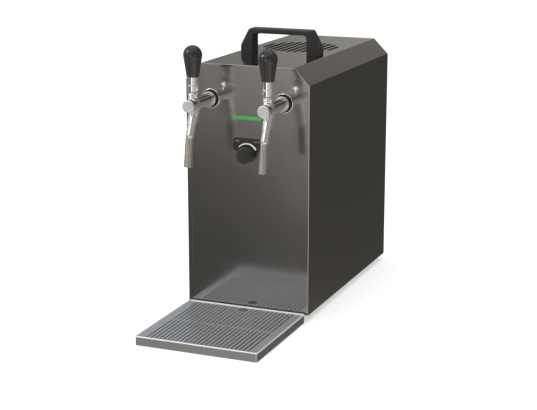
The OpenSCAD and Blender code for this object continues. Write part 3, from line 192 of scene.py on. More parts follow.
class Recipe:
    """The nodes of one material or world."""

    def __init__(self, tree):
        self.tree = tree
        tree.nodes.clear()

    def node(self, kind, settings=None, inputs=None, output=0):
        made = self.tree.nodes.new(kind)
        settings = dict(settings or {})
        stops = settings.pop("stops", ())
        for name, value in settings.items():
            setattr(made, name, value)
        for k, (position, colour) in enumerate(stops):
            ramp = made.color_ramp.elements
            stop = ramp[k] if k < len(ramp) else ramp.new(position)
            stop.position, stop.color = position, colour
        for key, value in (inputs or {}).items():
            if isinstance(value, Wire):
                self.tree.links.new(value.socket, made.inputs[key])
            else:
                made.inputs[key].default_value = value
        return Wire(self, made.outputs[output]) if made.outputs else None

    def place(self, scale=(1, 1, 1)):
        """Object coordinates in metres, stretched by scale."""
        where = self.node("ShaderNodeTexCoord", output="Object")
        return self.node("ShaderNodeMapping", {}, {"Vector": where, "Scale": scale})

    def noise(self, scale, detail=2.0, roughness=0.5, stretch=(1, 1, 1)):
        """Noise whose grains are 1 / scale metres across, shrunk along each axis by stretch."""
        return self.node("ShaderNodeTexNoise", {}, {
            "Vector": self.place(stretch), "Scale": scale, "Detail": detail, "Roughness": roughness})

    def blend(self, amount, first, second):
        """Goes from the first colour to the second as amount goes from 0 to 1."""
        return self.node("ShaderNodeMix", {"data_type": "RGBA"},
                         {"Factor": amount, 6: first, 7: second}, output=2)

    def bump(self, height, distance):
        """Raises the surface by height times distance, which is in metres."""
        return self.node("ShaderNodeBump", {}, {"Height": height, "Distance": distance, "Strength": 1.0})

    def surface(self, **sockets):
        """One Principled shader, whose sockets are named with underscores for spaces."""
        named = {name.replace("_", " "): value for name, value in sockets.items()}
        shader = self.node("ShaderNodeBsdfPrincipled", {}, named)
        self.node("ShaderNodeOutputMaterial", {}, {"Surface": shader})


def recipe(name):
    """A new material and the recipe that its nodes are written with."""
    material = bpy.data.materials.new(name)
    material.use_nodes = True
    return material, Recipe(material.node_tree)


def grey(value, warmth=0.0):
    """A colour of that brightness, with more red and less blue as warmth grows."""
    return (value * (1 + warmth), value, value * (1 - warmth), 1)


FINISH = {}
print("a warm grey of 0.5:", grey(0.5, 0.1))

# %% [markdown]
# ## Dark polished steel
# The casing and the front are stainless sheet with a dark, almost black mirror polish. Paint
# would look dead here, so it is a metal with a low, warm reflectance. Rolling and polishing
# leave very fine upright streaks that vary the gloss a little, and a large sheet is never
# quite flat, so a broad and very shallow wave bends the mirror image.


# %% Steel
STREAK_LIFT = 0.000002


def steel(name, colour, gloss, grain=0.03, along=(1, 1, 0.02), density=900, wave=0.0, warmth=0.02,
          streak=0.06, metal=1.0):
    """Metal whose roughness is gloss plus grain times a streaky noise drawn out along one axis,
    whose tone changes by streak with the same noise, and whose sheet waves by that many metres
    over a hand's breadth. STREAK_LIFT is the height of the streaks in metres."""
    material, r = recipe(name)
    streaks = r.noise(density, 3, 0.6, along)
    smudge = r.noise(9, 3, 0.55)
    rough = gloss + (streaks - 0.5) * (2 * grain) + (smudge - 0.5) * (grain * 0.8)
    tone = r.blend(streaks, grey(colour * (1 - streak), warmth), grey(colour * (1 + streak), warmth))
    height = r.noise(6, 1, 0.4) * wave + streaks * STREAK_LIFT
    r.surface(Base_Color=tone, Metallic=metal, Roughness=rough, Normal=r.bump(height, 1.0))
    FINISH[name] = material


steel("dark_steel", 0.40, 0.13, 0.03, wave=0.0006, warmth=0.09)
steel("panel_steel", 0.385, 0.14, 0.025, wave=0.0006, warmth=0.05)
steel("satin_steel", 0.52, 0.38, 0.06, along=(0.03, 1, 1), density=1500, warmth=0.03)
steel("grid_steel", 0.92, 0.30, 0.06, along=(1, 0.03, 1), density=1500, warmth=-0.06, metal=0.92)
# The drip pan's bead: steel with a painted highlight, near-white and only a third metal.
steel("rim_steel_painted_highlight", 0.97, 0.28, 0.02, density=900, warmth=0, metal=0.35)
steel("tip_steel", 0.56, 0.22, 0.08, along=(1, 1, 0.015), density=1100, warmth=0.08, streak=0.45)
steel("disc_steel", 0.88, 0.50, 0.04, along=(1, 1, 1), density=1800, warmth=-0.01)
steel("chrome", 0.86, 0.035, 0.01, density=400, warmth=0.01)
steel("zinc_steel", 0.56, 0.32, 0.06, along=(1, 1, 1), density=300, warmth=0.01)
print("steels:", sorted(FINISH))

# %% [markdown]
# ## Plastics, rubber, prints and the hidden parts
# Moulded black plastic is dull because its mould is etched: a fine noise in the bump gives
# that grain. The lever knobs are polished, so they keep a tight highlight, with faint rubbing
# marks. Copper tube is drawn along its length, cast aluminium is grainy and uneven, and foam
# boards have small closed cells.


# %% Plastic, rubber and the rest
def coated(name, dark, light, rough, grain=2500, lift=0.00002, patch=14, **more):
    """A non-metal whose colour wanders between dark and light in patches, with fine grain
    raised by lift metres, and whose roughness wanders with the patches."""
    material, r = recipe(name)
    patches, fine = r.noise(patch, 4, 0.6), r.noise(grain, 2, 0.5)
    r.surface(Base_Color=r.blend(patches, dark, light), Normal=r.bump(fine, lift),
              Roughness=rough + (patches - 0.5) * 0.14 + (fine - 0.5) * 0.08, **more)
    FINISH[name] = material


coated("matte_black", grey(0.015), grey(0.028, 0.01), 0.38, lift=0.00003)
coated("gloss_black", grey(0.020, 0.09), grey(0.028, 0.09), 0.12, lift=0.000002)
coated("dial_black", grey(0.014, 0.04), grey(0.026, 0.04), 0.30, lift=0.00001)
coated("rubber", grey(0.012), grey(0.030), 0.72, grain=1200, lift=0.00006)
coated("white_print", grey(0.84, 0.02), grey(0.95, 0.02), 0.45, lift=0.000004)
coated("gold_print", (0.42, 0.24, 0.05, 1), (0.55, 0.33, 0.08, 1), 0.40, lift=0.000004)
coated("green_print", (0.02, 0.50, 0.04, 1), (0.05, 0.64, 0.08, 1), 0.40, lift=0.000004)
coated("cast_aluminium", grey(0.46), grey(0.66), 0.44, grain=700, lift=0.0002, Metallic=1.0)
coated("copper", (0.56, 0.25, 0.13, 1), (0.80, 0.42, 0.26, 1), 0.26, lift=0.000006, Metallic=1.0)
coated("brass", (0.62, 0.42, 0.14, 1), (0.80, 0.60, 0.26, 1), 0.24, lift=0.000006, Metallic=1.0)
coated("foam", (0.70, 0.66, 0.48, 1), (0.86, 0.83, 0.68, 1), 0.85, grain=420, lift=0.0004)
coated("clear_line", (0.62, 0.68, 0.70, 1), (0.76, 0.80, 0.82, 1), 0.22, lift=0.000004)
coated("black_paint", grey(0.012), grey(0.030), 0.34, grain=500, lift=0.00006)
print("finishes:", len(FINISH))

# %% [markdown]
# Each CAD node that stays takes the finish that its material slot names, so the fins, lines
# and motors behind the grille are as real as the front. Only the drip grid gets one of its own:
# it shares its slot with the pan, but its punched sheet is brighter and a little bluer.

# %% Finish every CAD node
SPECIAL, OTHER = {"drip_grid": "grid_steel"}, "zinc_steel"
for node_name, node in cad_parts.items():
    slot_name = node.data.materials[0].name.split(".")[0] if node.data.materials else OTHER
    finish_name = SPECIAL.get(node_name, slot_name if slot_name in FINISH else OTHER)
    node.data.materials.clear()
    node.data.materials.append(FINISH[finish_name])
print("finished", len(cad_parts), "CAD nodes")


# %% Turn shells into an object
def make(name, shells, finish, body, replaces=(), crease=32):
    """Joins shells drawn in millimetres into one object in the frame, merges their doubled
    points, points the faces outwards and keeps edges sharper than crease degrees sharp."""
    counts = np.cumsum([0] + [len(points) for points, _ in shells])
    points = np.concatenate([points for points, _ in shells]) * MM + ORIGIN
    faces = [[first + k for k in face] for first, (_, some) in zip(counts, shells) for face in some]
    mesh = bpy.data.meshes.new(name)
    mesh.from_pydata(points.tolist(), [], faces)
    work = bmesh.new()
    work.from_mesh(mesh)
    bmesh.ops.remove_doubles(work, verts=work.verts, dist=2e-6)
    bmesh.ops.dissolve_degenerate(work, edges=work.edges, dist=1e-7)
    bmesh.ops.recalc_face_normals(work, faces=work.faces)
    work.to_mesh(mesh)
    work.free()
    mesh.shade_smooth()
    mesh.set_sharp_from_angle(angle=math.radians(crease))
    piece = bpy.data.objects.new(name, mesh)
    bpy.context.scene.collection.objects.link(piece)
    mesh.materials.append(FINISH[finish])
    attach(piece, body)
    if replaces:
        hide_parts(*replaces)
    print(f"{name}: {len(mesh.polygons)} faces")
    return piece


print("pieces are drawn in units of", MM, "m")

# %% [markdown]
# ## The folded casing
# One sheet is folded over the machine. Seen along the cabinet its section is a line with four
# bends, and every layer of the sheet follows the same line, set in by its own amount. The
# surface is therefore a loft: one direction runs along the section, the other walks round the
# sheet's own edge, from the outside over the front fold to the lip and back along the inside.

# %% Section lines of the casing
SHEET_T, EDGE_C, FOLD_R, BEND_R = 1.2, 30, 1.3, 2.4
GUARD, TIGHT_R = 0.3, 0.5
LIP_INSETS, BACK_INSET = (8, 4, 2.5), 10


def section_line(side, slant, roof, radius):
    """The casing's outline across the cabinet, set in by its own amount at the sides, the
    slants and the roof, with its four bends rounded."""
    half, cut = BODY_W / 2, EDGE_C + slant * math.sqrt(2)
    shoulder = BODY_H - cut + side
    eave = half - cut + roof
    corners = [(-half + side, 0), (-half + side, shoulder), (-eave, BODY_H - roof),
               (eave, BODY_H - roof), (half - side, shoulder), (half - side, 0)]
    return rounded_line(corners, radius, 6)


def casing_stations():
    """Insets at the side, slant and roof, bend radius and depth for each line round the sheet."""
    swing = np.linspace(0, math.pi / 2, 6)
    inset, depth = FOLD_R * (1 - np.sin(swing)), FOLD_R * (1 - np.cos(swing))
    skin = [(s, s, s, max(BEND_R - s, 0.4), d) for s, d in zip(inset, depth)]
    back_skin = [(s, s, s, radius, BODY_D - d) for s, _, _, radius, d in skin]
    turned_in, far = FOLD_R + GUARD, BODY_D - SHEET_T
    front_lip = [(turned_in,) * 3 + (1.2, 0)]
    lip_edge = [LIP_INSETS + (TIGHT_R, 0), LIP_INSETS + (TIGHT_R, SHEET_T)]
    inner = [(SHEET_T,) * 3 + (BEND_R - SHEET_T, d) for d in (SHEET_T, far)]
    back = [(BACK_INSET,) * 3 + (TIGHT_R, far), (BACK_INSET,) * 3 + (TIGHT_R, BODY_D),
            (turned_in,) * 3 + (1.2, BODY_D)]
    guards = [(0, 0, 0, BEND_R, turned_in), (0, 0, 0, BEND_R, BODY_D - turned_in)]
    return lip_edge[::-1] + front_lip + skin + guards + back_skin[::-1] + back[::-1] + inner[::-1]


print("lines round the sheet:", len(casing_stations()))

# %% Loft the casing
lines = [np.insert(section_line(*station[:4]), 1, station[4], axis=1) for station in casing_stations()]
loft = np.stack(lines, axis=1)
casing_shell = grid_shell(loft, close_columns=True, caps=(0, -1))
casing = make("casing_skin", [casing_shell], "dark_steel", "cabinet", ["casing_cover"])

# %% [markdown]
# The roof has a round field of long slots above the fan. They all run from front to back, and
# each one ends where the circle does, so its length is the circle's chord there. All slots
# become one cutter mesh, and one exact Boolean cuts them out of the roof.


# %% Punch the slots
def slot_prisms(low, high, radius=76, step=13.2, width=8):
    """Upright prisms with round ends. The chord at |x| + width / 2 has half the length of the
    square root of radius squared less that distance squared."""
    last = int((radius - width) // step)
    swing = np.linspace(0, math.pi, 9)
    arc = np.stack([np.cos(swing), np.sin(swing)], -1) * width / 2
    prisms = []
    for x in np.arange(-last, last + 1) * step:
        reach = math.sqrt(radius ** 2 - (abs(x) + width / 2) ** 2) - width / 2
        outline = np.concatenate([arc + (x, reach), -arc + (x, -reach)])
        levels = [np.insert(outline, 2, z, axis=1) for z in (low, high)]
        prisms.append(grid_shell(levels, close_columns=True, caps=(0, 1)))
    return prisms


VENT_Y, CUT_H = 268, 4
cutters = [moved(prism, (0, VENT_Y, BODY_H)) for prism in slot_prisms(low=-CUT_H, high=CUT_H)]
cutter = make("vent_cutter", cutters, "dark_steel", "cabinet")
cut = casing.modifiers.new("slots", "BOOLEAN")
cut.object, cut.operation, cut.solver = cutter, "DIFFERENCE", "EXACT"
evaluated = casing.evaluated_get(bpy.context.evaluated_depsgraph_get())
punched = bpy.data.meshes.new_from_object(evaluated)
casing.modifiers.clear()
casing.data = punched
punched.set_sharp_from_angle(angle=math.radians(32))
bpy.data.objects.remove(cutter)
print("slots:", len(cutters), "casing faces after punching:", len(punched.polygons))

# %% [markdown]
# ## The carry handle
# A moulded bridge. Its outer line has four bends and its inner line two, and the solid between
# them has rounded edges. Each point of the section knows how far it lies from the outer or
# from the inner line, so the section adapts where the bridge is thick and where it is thin.


# %% Loft between two lines
def bridge(outer, inner, depth, edge):
    """Point (i, j) lies off outer point i or inner point i by the section's own offset,
    measured along the direction that joins the two, and at the section's depth."""
    across = inner - outer
    across /= np.linalg.norm(across, axis=1, keepdims=True)
    q, y = rounded_box_line(10, depth, edge, 4, 0.4).T
    outside = (q < 0)[None, :, None]
    from_outer = outer[:, None] + across[:, None] * (q + 5)[None, :, None]
    from_inner = inner[:, None] - across[:, None] * (5 - q)[None, :, None]
    flat = np.where(outside, from_outer, from_inner)
    depths = np.broadcast_to(y[None, :], flat.shape[:2])
    return np.stack([flat[..., 0], depths, flat[..., 1]], -1)


HANDLE_Y, HANDLE_D, EDGE_R = 168, 28, 3.2
LEG_X, LEG_Z, TOP_X, TOP_Z = 79, 14.5, 62, 46.5
HAND_X, HAND_FOOT_Z, HAND_Z = 53.5, 12, 37
outer = rounded_line([(-LEG_X, 0), (-LEG_X, LEG_Z), (-TOP_X, TOP_Z), (TOP_X, TOP_Z), (LEG_X, LEG_Z),
                      (LEG_X, 0)], [0, 6, 6, 6, 6, 0], 6)
inner = rounded_line([(-HAND_X, 0), (-HAND_X, HAND_FOOT_Z), (-HAND_X, HAND_Z), (HAND_X, HAND_Z),
                      (HAND_X, HAND_FOOT_Z), (HAND_X, 0)], [0, 0, 7, 7, 0, 0], 6)
handle = moved(grid_shell(bridge(outer, inner, HANDLE_D, EDGE_R), close_columns=True, caps=(0, -1)),
               (0, HANDLE_Y, BODY_H))
make("handle_bridge", [handle], "matte_black", "cabinet", ["carry_handle"])

# %% [markdown]
# ## The two taps
# Each tap is a chrome barrel that comes straight out of the front, with a socket for the lever
# on top and a slanted sleeve for the spout below. Barrel, sleeve and spout are turned parts.
# The socket is not: its foot follows the barrel, so each of its foot points sits at the height
# of the barrel's surface, the square root of R² - x².

# %% Sizes that both taps share
TAP_X, TAP_Z, WALL_Y = 71, 388.5, 1.2
BARREL_R, BARREL_OUT, CAP_T = 11, 96, 3
LEVER_Y, PIVOT_H = 73, 19.5
SPOUT_Y, TUBE_TILT, TO_BEND, TIP_TILT = 63.9, -25.5, 58.5, -9.5
SOCKET_R, SOCKET_BORE, SOCKET_TOP, FLARE = 8.9, 7.5, 3.6, 2.2
SIDES = {"left": -1, "right": 1}
print("taps at", TAP_X, "mm to each side, barrels", 2 * BARREL_R, "mm thick")


# %% The lever's socket
def profile(corners, radii, steps=4, guard=0.12):
    """A turned part's profile as pairs (radius, height) with its corners rounded."""
    return rounded_line(corners, radii, steps, False, guard)


def lever_socket():
    """Radius eases from the flared foot to the neck, and the foot's height is the barrel's."""
    angle = 2 * math.pi * np.arange(64)[None, :] / 64
    t = np.linspace(0, 1, 7)[:, None]
    radius = SOCKET_R + FLARE * (1 - t) ** 2
    x, y = radius * np.cos(angle), radius * np.sin(angle)
    foot, neck, sunk = np.sqrt(np.maximum(BARREL_R ** 2 - x ** 2, 0)), BARREL_R + FLARE, 0.3
    skirt = np.stack([x, y, (foot - sunk) * (1 - t) + neck * t], -1)
    top = PIVOT_H + SOCKET_TOP
    head = profile([(SOCKET_R, neck), (SOCKET_R, top - 0.5), (SOCKET_R - 0.6, top), (SOCKET_BORE, top),
                    (SOCKET_BORE, PIVOT_H), (0, PIVOT_H - 6)], [0, 0.4, 0.2, 0.2, 0.3, 0])
    upper = turned(np.concatenate([head, [(0, 2)]]), sides=64)
    return [grid_shell(skirt, close_columns=True), upper]


print("the socket's skirt and head have", [len(points) for points, _ in lever_socket()], "points")

# %% [markdown]
# The sleeve is a slightly tapered cone with a small dark screw on each side of its foot. The
# chrome tube below it ends in a ball, and from there the satin tip hangs at a steeper angle
# and widens a little. The collar at the front wall has a thin outer rim and a lip, and the
# black ring between them is painted shade and painted dark reflection in the hollow, which
# gives the two bright rims of the real one.

# %% Profiles of the tap's turned parts
barrel = profile([(0, -WALL_Y), (BARREL_R, -WALL_Y), (BARREL_R, BARREL_OUT - CAP_T),
                  (0, BARREL_OUT - CAP_T)], [0, 0.3, 0.5, 0])
cap = profile([(0, 0), (BARREL_R - 0.4, 0), (BARREL_R, 0.6), (BARREL_R, CAP_T - 1.2),
               (BARREL_R - 1.2, CAP_T), (8.2, CAP_T), (7.9, CAP_T - 0.25), (0, CAP_T - 0.25)],
              [0, 0.2, 0.3, 0.3, 0.3, 0.1, 0.1, 0])
collar = profile([(11.2, 0), (18, 0), (18, 2.2), (17.2, 3), (16.5, 2.2), (16.5, 0.8), (13.9, 0.8),
                  (13.2, 4), (13, 9.9), (13.8, 11.2), (13.1, 12), (11.2, 12)],
                 [0, 0.2, 0.5, 0.4, 0.2, 0, 0.3, 1, 1, 0.5, 0.4, 0])
# The black ring in the collar's hollow is painted shade and painted dark reflection.
painted_groove_shade = profile([(13.5, 0.7), (16.5, 0.7), (16.5, 1.5), (13.7, 1.5), (13.5, 0.7)], [0, 0, 0.2, 0.2, 0])
SLEEVE_L, SLEEVE_BORE, SCREW_DOWN, SCREW_OUT = 40, 7.25, 38, 8.75
sleeve = profile([(0, 1.2), (9.4, 1.2), (8.7, -SLEEVE_L), (SLEEVE_BORE, -SLEEVE_L),
                  (SLEEVE_BORE, 6 - SLEEVE_L), (0, 6 - SLEEVE_L)], [0, 0.6, 0.4, 0.2, 0, 0])
TUBE_R, TUBE_BORE, TIP_R, TIP_FOOT_R, TIP_BORE = 7.3, 4.4, 7.1, 7.5, 6
TUBE_FROM, TIP_FROM, TIP_TO = 28.5, 3.8, 55.7
down_ball = np.linspace(0, math.acos(TUBE_BORE / TUBE_R), 13)
ball_end = np.stack([np.cos(down_ball), -np.sin(down_ball)], -1) * TUBE_R - (0, TO_BEND)
spout = np.concatenate([[(TUBE_BORE, -TUBE_FROM), (TUBE_R, -TUBE_FROM), (TUBE_R, 0.3 - TO_BEND)], ball_end])
tip = profile([(TIP_BORE, -TIP_FROM), (TIP_R, -TIP_FROM), (TIP_FOOT_R, -TIP_TO), (TIP_BORE, -TIP_TO),
               (TIP_BORE, -TIP_FROM)], [0, 0.4, 0.5, 0.3, 0])
set_screw = profile([(0, 0.7), (1.5, 0.7), (1.5, -1), (0, -1)], [0, 0.4, 0, 0])


def down(tilt, length):
    """The way from a joint to the next one, length mm down an axis at that tilt."""
    return np.array([0, math.sin(math.radians(tilt)), -math.cos(math.radians(tilt))]) * length


print("a spout ends at", (down(TUBE_TILT, TO_BEND) + down(TIP_TILT, TIP_TO)).round(1), "mm from its root")

# %% [markdown]
# The lever swings about a pin in the socket. Above the socket, after a narrow dark gap, come a
# plain collar and a slightly slimmer stem. The collar is hollowed by a ball about the pin, so it
# clears the socket when the lever is pulled. The black knob is a plain cone that widens upwards
# and runs without an edge into a ball.

# %% Profiles of the lever and its knob
RING_Z, RING_R, RING_TOP, STEM_R, STEM_TOP = 4.5, 9.8, 15.2, 8.9, 30
NECK_R, HOLLOW_R = 4, 9.6
swing = np.linspace(math.acos(NECK_R / HOLLOW_R), math.asin(RING_Z / HOLLOW_R), 9)
hollow = HOLLOW_R * np.stack([np.cos(swing), np.sin(swing)], -1)
collar_and_stem = profile([hollow[-1], (RING_R, RING_Z), (RING_R, RING_TOP), (STEM_R, RING_TOP + 0.7),
                           (STEM_R, STEM_TOP), (0, STEM_TOP)], [0, 0.7, 0.5, 0.3, 0.4, 0])
neck = [(0, -2.5), (NECK_R - 1, -2.5), (NECK_R, -1)]
lever_line = np.concatenate([neck, hollow[:-1], collar_and_stem])


def knob_line(foot_r=11.25, belly_r=16.7, height=55.5):
    """A cone that runs tangent into a ball. The ball's centre lies one radius under the top, and
    the cone meets it where the ball's own slope is the cone's."""
    centre = height - belly_r
    touch = math.acos(belly_r / math.hypot(foot_r, centre)) - math.atan2(centre, foot_r)
    swing = np.linspace(touch, math.pi / 2, 25)
    ball = np.stack([belly_r * np.cos(swing), centre + belly_r * np.sin(swing)], -1)
    ball[-1, 0] = 0
    cone = np.linspace((foot_r, 0.5), ball[0], 12)[:-1]
    return np.concatenate([[(0, 0), (foot_r - 0.5, 0), (foot_r - 0.1, 0.15)], cone, ball])


print("points of the lever's and the knob's profile:", len(lever_line), len(knob_line()))


# %% Put the taps together
def forward(line):
    """The profile with its heights counted towards the front, which is -Y."""
    return line * (1, -1)


for side, s in SIDES.items():
    axis = (s * TAP_X, 0, TAP_Z)
    root = np.array([s * TAP_X, -SPOUT_Y, TAP_Z])
    pivot = (s * TAP_X, -LEVER_Y, TAP_Z)
    tap = [turned(forward(barrel), axis, "y", 96)]
    tap += [moved(shell, pivot) for shell in lever_socket()]
    tap += [moved(turned(sleeve, sides=80), root, TUBE_TILT)]
    make(f"{side}_tap_shell", tap, "chrome", "cabinet", [f"{side}_tap_body"])
    disc = turned(forward(cap), (s * TAP_X, CAP_T - BARREL_OUT, TAP_Z), "y", 96)
    make(f"{side}_tap_disc", [disc], "disc_steel", "cabinet", [f"{side}_tap_cap"])
    rings = [turned(forward(line), (s * TAP_X, WALL_Y, TAP_Z), "y", 96) for line in (collar, painted_groove_shade)]
    make(f"{side}_collar_ring", rings[:1], "chrome", "cabinet", [f"{side}_wall_collar"])
    # The black ring, in the rubber finish, is painted shade and dark reflection between the rims.
    make(f"{side}_collar_seal", rings[1:], "rubber", "cabinet")
    tube = moved(turned(spout, sides=72), root, TUBE_TILT)
    make(f"{side}_spout_tube", [tube], "chrome", "cabinet", [f"{side}_spout"])
    end = moved(turned(tip, sides=72), root + down(TUBE_TILT, TO_BEND), TIP_TILT)
    make(f"{side}_spout_end", [end], "tip_steel", "cabinet", [f"{side}_spout_tip"])
    foot = root + down(TUBE_TILT, SCREW_DOWN)
    screws = [turned(set_screw * (1, way), foot + (way * SCREW_OUT, 0, 0), "x", 24) for way in (-1, 1)]
    make(f"{side}_set_screws", screws, "matte_black", "cabinet")
    lever = turned(lever_line, (s * TAP_X, -LEVER_Y, TAP_Z + PIVOT_H), sides=80)
    make(f"{side}_lever_stem", [lever], "chrome", f"{side}_lever", [f"{side}_lever"])
    knob = turned(knob_line(), (s * TAP_X, -LEVER_Y, TAP_Z + PIVOT_H + STEM_TOP), sides=80)
    make(f"{side}_knob_pear", [knob], "gloss_black", f"{side}_lever", [f"{side}_lever_knob"])

# %% [markdown]
# ## Temperature dial
# A thin black plate with round corners carries a white wedge that grows as it turns, and in
# front of it sits a black knob with a ribbed grip. The ribs are a ripple on the radius. The
# only words are the plain MIN and MAX of any such dial.

# %% Plate, wedge and words
DIAL_Z, THERMO_Z, PLATE_T, PRINT_T = 307.8, 290, 0.8, 0.3
PRINT_Y = WALL_Y - PLATE_T
plate = rounded_box_line(55, 24.5, 6, 8)


def slab(outline, front, back, edge=0.0):
    """A flat plate in X and Z between two depths, its front edge taken off by edge."""
    middle = outline.mean(0)
    size = np.abs(outline - middle).max(0)
    layers = [(1 - edge / size, front), (1 + 0 * size, front + edge), (1 + 0 * size, back)]
    rings = [np.insert((outline - middle) * share + middle, 1, y, axis=1) for share, y in layers]
    return grid_shell(rings, close_columns=True, caps=(0, -1))


make("dial_face", [moved(slab(plate, PRINT_Y, WALL_Y, 0.2), (0, 0, DIAL_Z))], "dial_black", "cabinet",
     ["dial_plate"])


# %% The wedge
def wedge(steps=40, radius=21.4, thin=1.5, thick=4, start=142, end=30):
    """Outer edge: a circle. Inner edge: nearer the middle in step with the angle."""
    share = np.linspace(0, 1, steps + 1)
    angle = np.radians(start + (end - start) * share)
    ring = np.stack([np.cos(angle), np.sin(angle)], -1)
    inside = radius - thin - (thick - thin) * share
    return np.stack([ring * radius, ring * inside[:, None]])


rim = wedge()
front, behind = (np.insert(rim, 1, y, axis=2) for y in (PRINT_Y - PRINT_T, PRINT_Y))
ring = np.stack([front[0], front[1], behind[1], behind[0]], axis=1)
make("dial_wedge", [moved(grid_shell(ring, close_columns=True, caps=(0, -1)), (0, 0, THERMO_Z))],
     "white_print", "cabinet", ["dial_scale"])


# %% The two words
WORD_SIZE, WORD_Z, LETTER_T = 5.2, 314.2, 0.05


def word(name, text, x):
    """Flat raised letters in the dial plate's front face, their middle at x."""
    curve = bpy.data.curves.new(name, "FONT")
    curve.body, curve.size, curve.extrude = text, WORD_SIZE * MM, LETTER_T * MM
    curve.align_x, curve.align_y = "CENTER", "CENTER"
    letters = bpy.data.objects.new(name, curve)
    mesh = bpy.data.meshes.new_from_object(letters)
    bpy.data.objects.remove(letters)
    co = np.empty(len(mesh.vertices) * 3)
    mesh.vertices.foreach_get("co", co)
    flat, middle = co.reshape(-1, 3), np.array((x, PRINT_Y - LETTER_T, WORD_Z))
    upright = np.stack([flat[:, 0], -flat[:, 2], flat[:, 1]], -1) + middle * MM + ORIGIN
    mesh.vertices.foreach_set("co", upright.ravel())
    piece = bpy.data.objects.new(name, mesh)
    bpy.context.scene.collection.objects.link(piece)
    mesh.materials.clear()
    mesh.materials.append(FINISH["gold_print"])
    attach(piece, "cabinet")
    print(f"{name}: {len(mesh.polygons)} faces")


word("dial_min", "MIN", -19.2)
word("dial_max", "MAX", 18.8)


# %% The ribbed knob
FLUTES, FLUTE_DEPTH = 24, 0.05


def grip_ribs(angle, height):
    """Shallow flutes, FLUTES of them, that fade out at the skirt and at the front face."""
    depth = FLUTE_DEPTH * np.clip((-height - 4.5) / 1.5, 0, 1) * np.clip((16.6 + height) / 1.5, 0, 1)
    return 1 - depth * (0.5 + 0.5 * np.cos(FLUTES * angle)) ** 2


grip = profile([(0, 0), (15.5, 0), (15.5, -3.2), (14.6, -4), (14.25, -5.5), (14.25, -8), (14.2, -15),
                (13.9, -17.2), (12.6, -18), (11.2, -17.6), (0, -17.2)],
               [0, 0.3, 0.6, 0.4, 0.4, 0, 0, 0.8, 0.8, 0.8, 0])
grip_at = (0, WALL_Y - 1.5, THERMO_Z)
make("thermostat_grip", [turned(grip, grip_at, "y", 192, grip_ribs)], "dial_black", "thermostat_knob",
     ["thermostat_knob"])

# %% [markdown]
# ## Accent strip
# Where a maker would print a name, this one has a plain strip of slanted green bars, printed
# on the steel like the rest of the front.

# %% Slanted bars
BARS, STRIP_W, STRIP_Z = 11, 57, 357
HALF_W, HALF_H, LEAN = 1.7, 3.2, 1.2
pitch = STRIP_W / (BARS - 0.1)
bar = np.array([(-HALF_W - LEAN, -HALF_H), (HALF_W - LEAN, -HALF_H),
                (HALF_W + LEAN, HALF_H), (LEAN - HALF_W, HALF_H)])
centres = (np.arange(BARS) - (BARS - 1) / 2) * pitch
strip = [moved(slab(bar, WALL_Y - PRINT_T, WALL_Y), (x, 0, STRIP_Z)) for x in centres]
make("accent_bars", strip, "green_print", "cabinet", ["accent_strip"])

# %% [markdown]
# ## Drip tray
# The pan is a shallow pressed tray with small round corners. It is a loft again: the same
# rounded rectangle, carried up the outside, over the rim and down the inside. Its upper edge is
# rolled into a thin bead. The bead is a ring of its own, a circle carried round the same
# rectangle, so that it can wear steel with a painted highlight: a near-white colour, only a
# third metal, that shows as a white line.


# %% The pan and its bead
def tray_line(inset, z, radius):
    """The tray's outline, set in by inset, at height z."""
    return np.insert(rounded_box_line(TRAY_W - 2 * inset, TRAY_D - 2 * inset, radius, 6), 2, z, axis=1)


FOOT_H = 13
TRAY_W, TRAY_D, TRAY_H, TRAY_GAP = 230, 222.7, 16.6, 5.3
BEAD_R, BEAD_IN, BEAD_CORNER = 1.2, 0.6, 2.6
tray_at = (0, -TRAY_GAP - TRAY_D / 2, -FOOT_H)
levels = [(1.0, 0.0, 2.0), (0.3, 0.3, 2.6), (0, 1.0, 2.8), (0, 1.4, 2.8), (0, 15.6, 2.8), (0, 16.2, 2.8),
          (0.15, 16.5, 2.7), (0.4, 16.6, 2.5), (0.6, 16.6, 2.4), (0.85, 16.5, 2.2), (1.0, 16.2, 2.0),
          (1.0, 15.6, 2.0), (1.0, 2.0, 2.0), (1.3, 1.3, 1.8), (2.0, 1.0, 1.5)]
pan = grid_shell([tray_line(*level) for level in levels], close_columns=True, caps=(0, -1))
make("drip_basin", [moved(pan, tray_at)], "satin_steel", "drip_tray", ["drip_pan"])
turn = 2 * math.pi * np.arange(16) / 16
circle = zip(BEAD_IN - BEAD_R * np.cos(turn), TRAY_H - BEAD_IN + BEAD_R * np.sin(turn))
bead_lines = [tray_line(inset, z, BEAD_CORNER) for inset, z in circle]
bead = grid_shell(bead_lines, close_rows=True, close_columns=True)
# The bead wears the near-white steel, a painted highlight along the rim.
make("drip_rim", [moved(bead, tray_at)], "rim_steel_painted_highlight", "drip_tray")

# %% [markdown]
# ## Feet, screws and the fittings behind
# Feet, fittings, barbs and the cord gland are turned parts. A cross-headed screw is a dome
# whose height drops along two crossing bars, which needs only a formula for the height.


# %% Feet
FOOT_OUT, FOOT_IN = 86, 55
foot = profile([(0, -FOOT_H), (11, -FOOT_H), (12, 0.8 - FOOT_H), (14, 0), (0, 0)], [0, 0.5, 0.6, 0.4, 0])
feet = [turned(foot, (x, y, 0), sides=48)
        for x in (-FOOT_OUT, FOOT_OUT) for y in (FOOT_IN, BODY_D - FOOT_IN)]
make("feet", feet, "rubber", "cabinet", ["rubber_feet"])


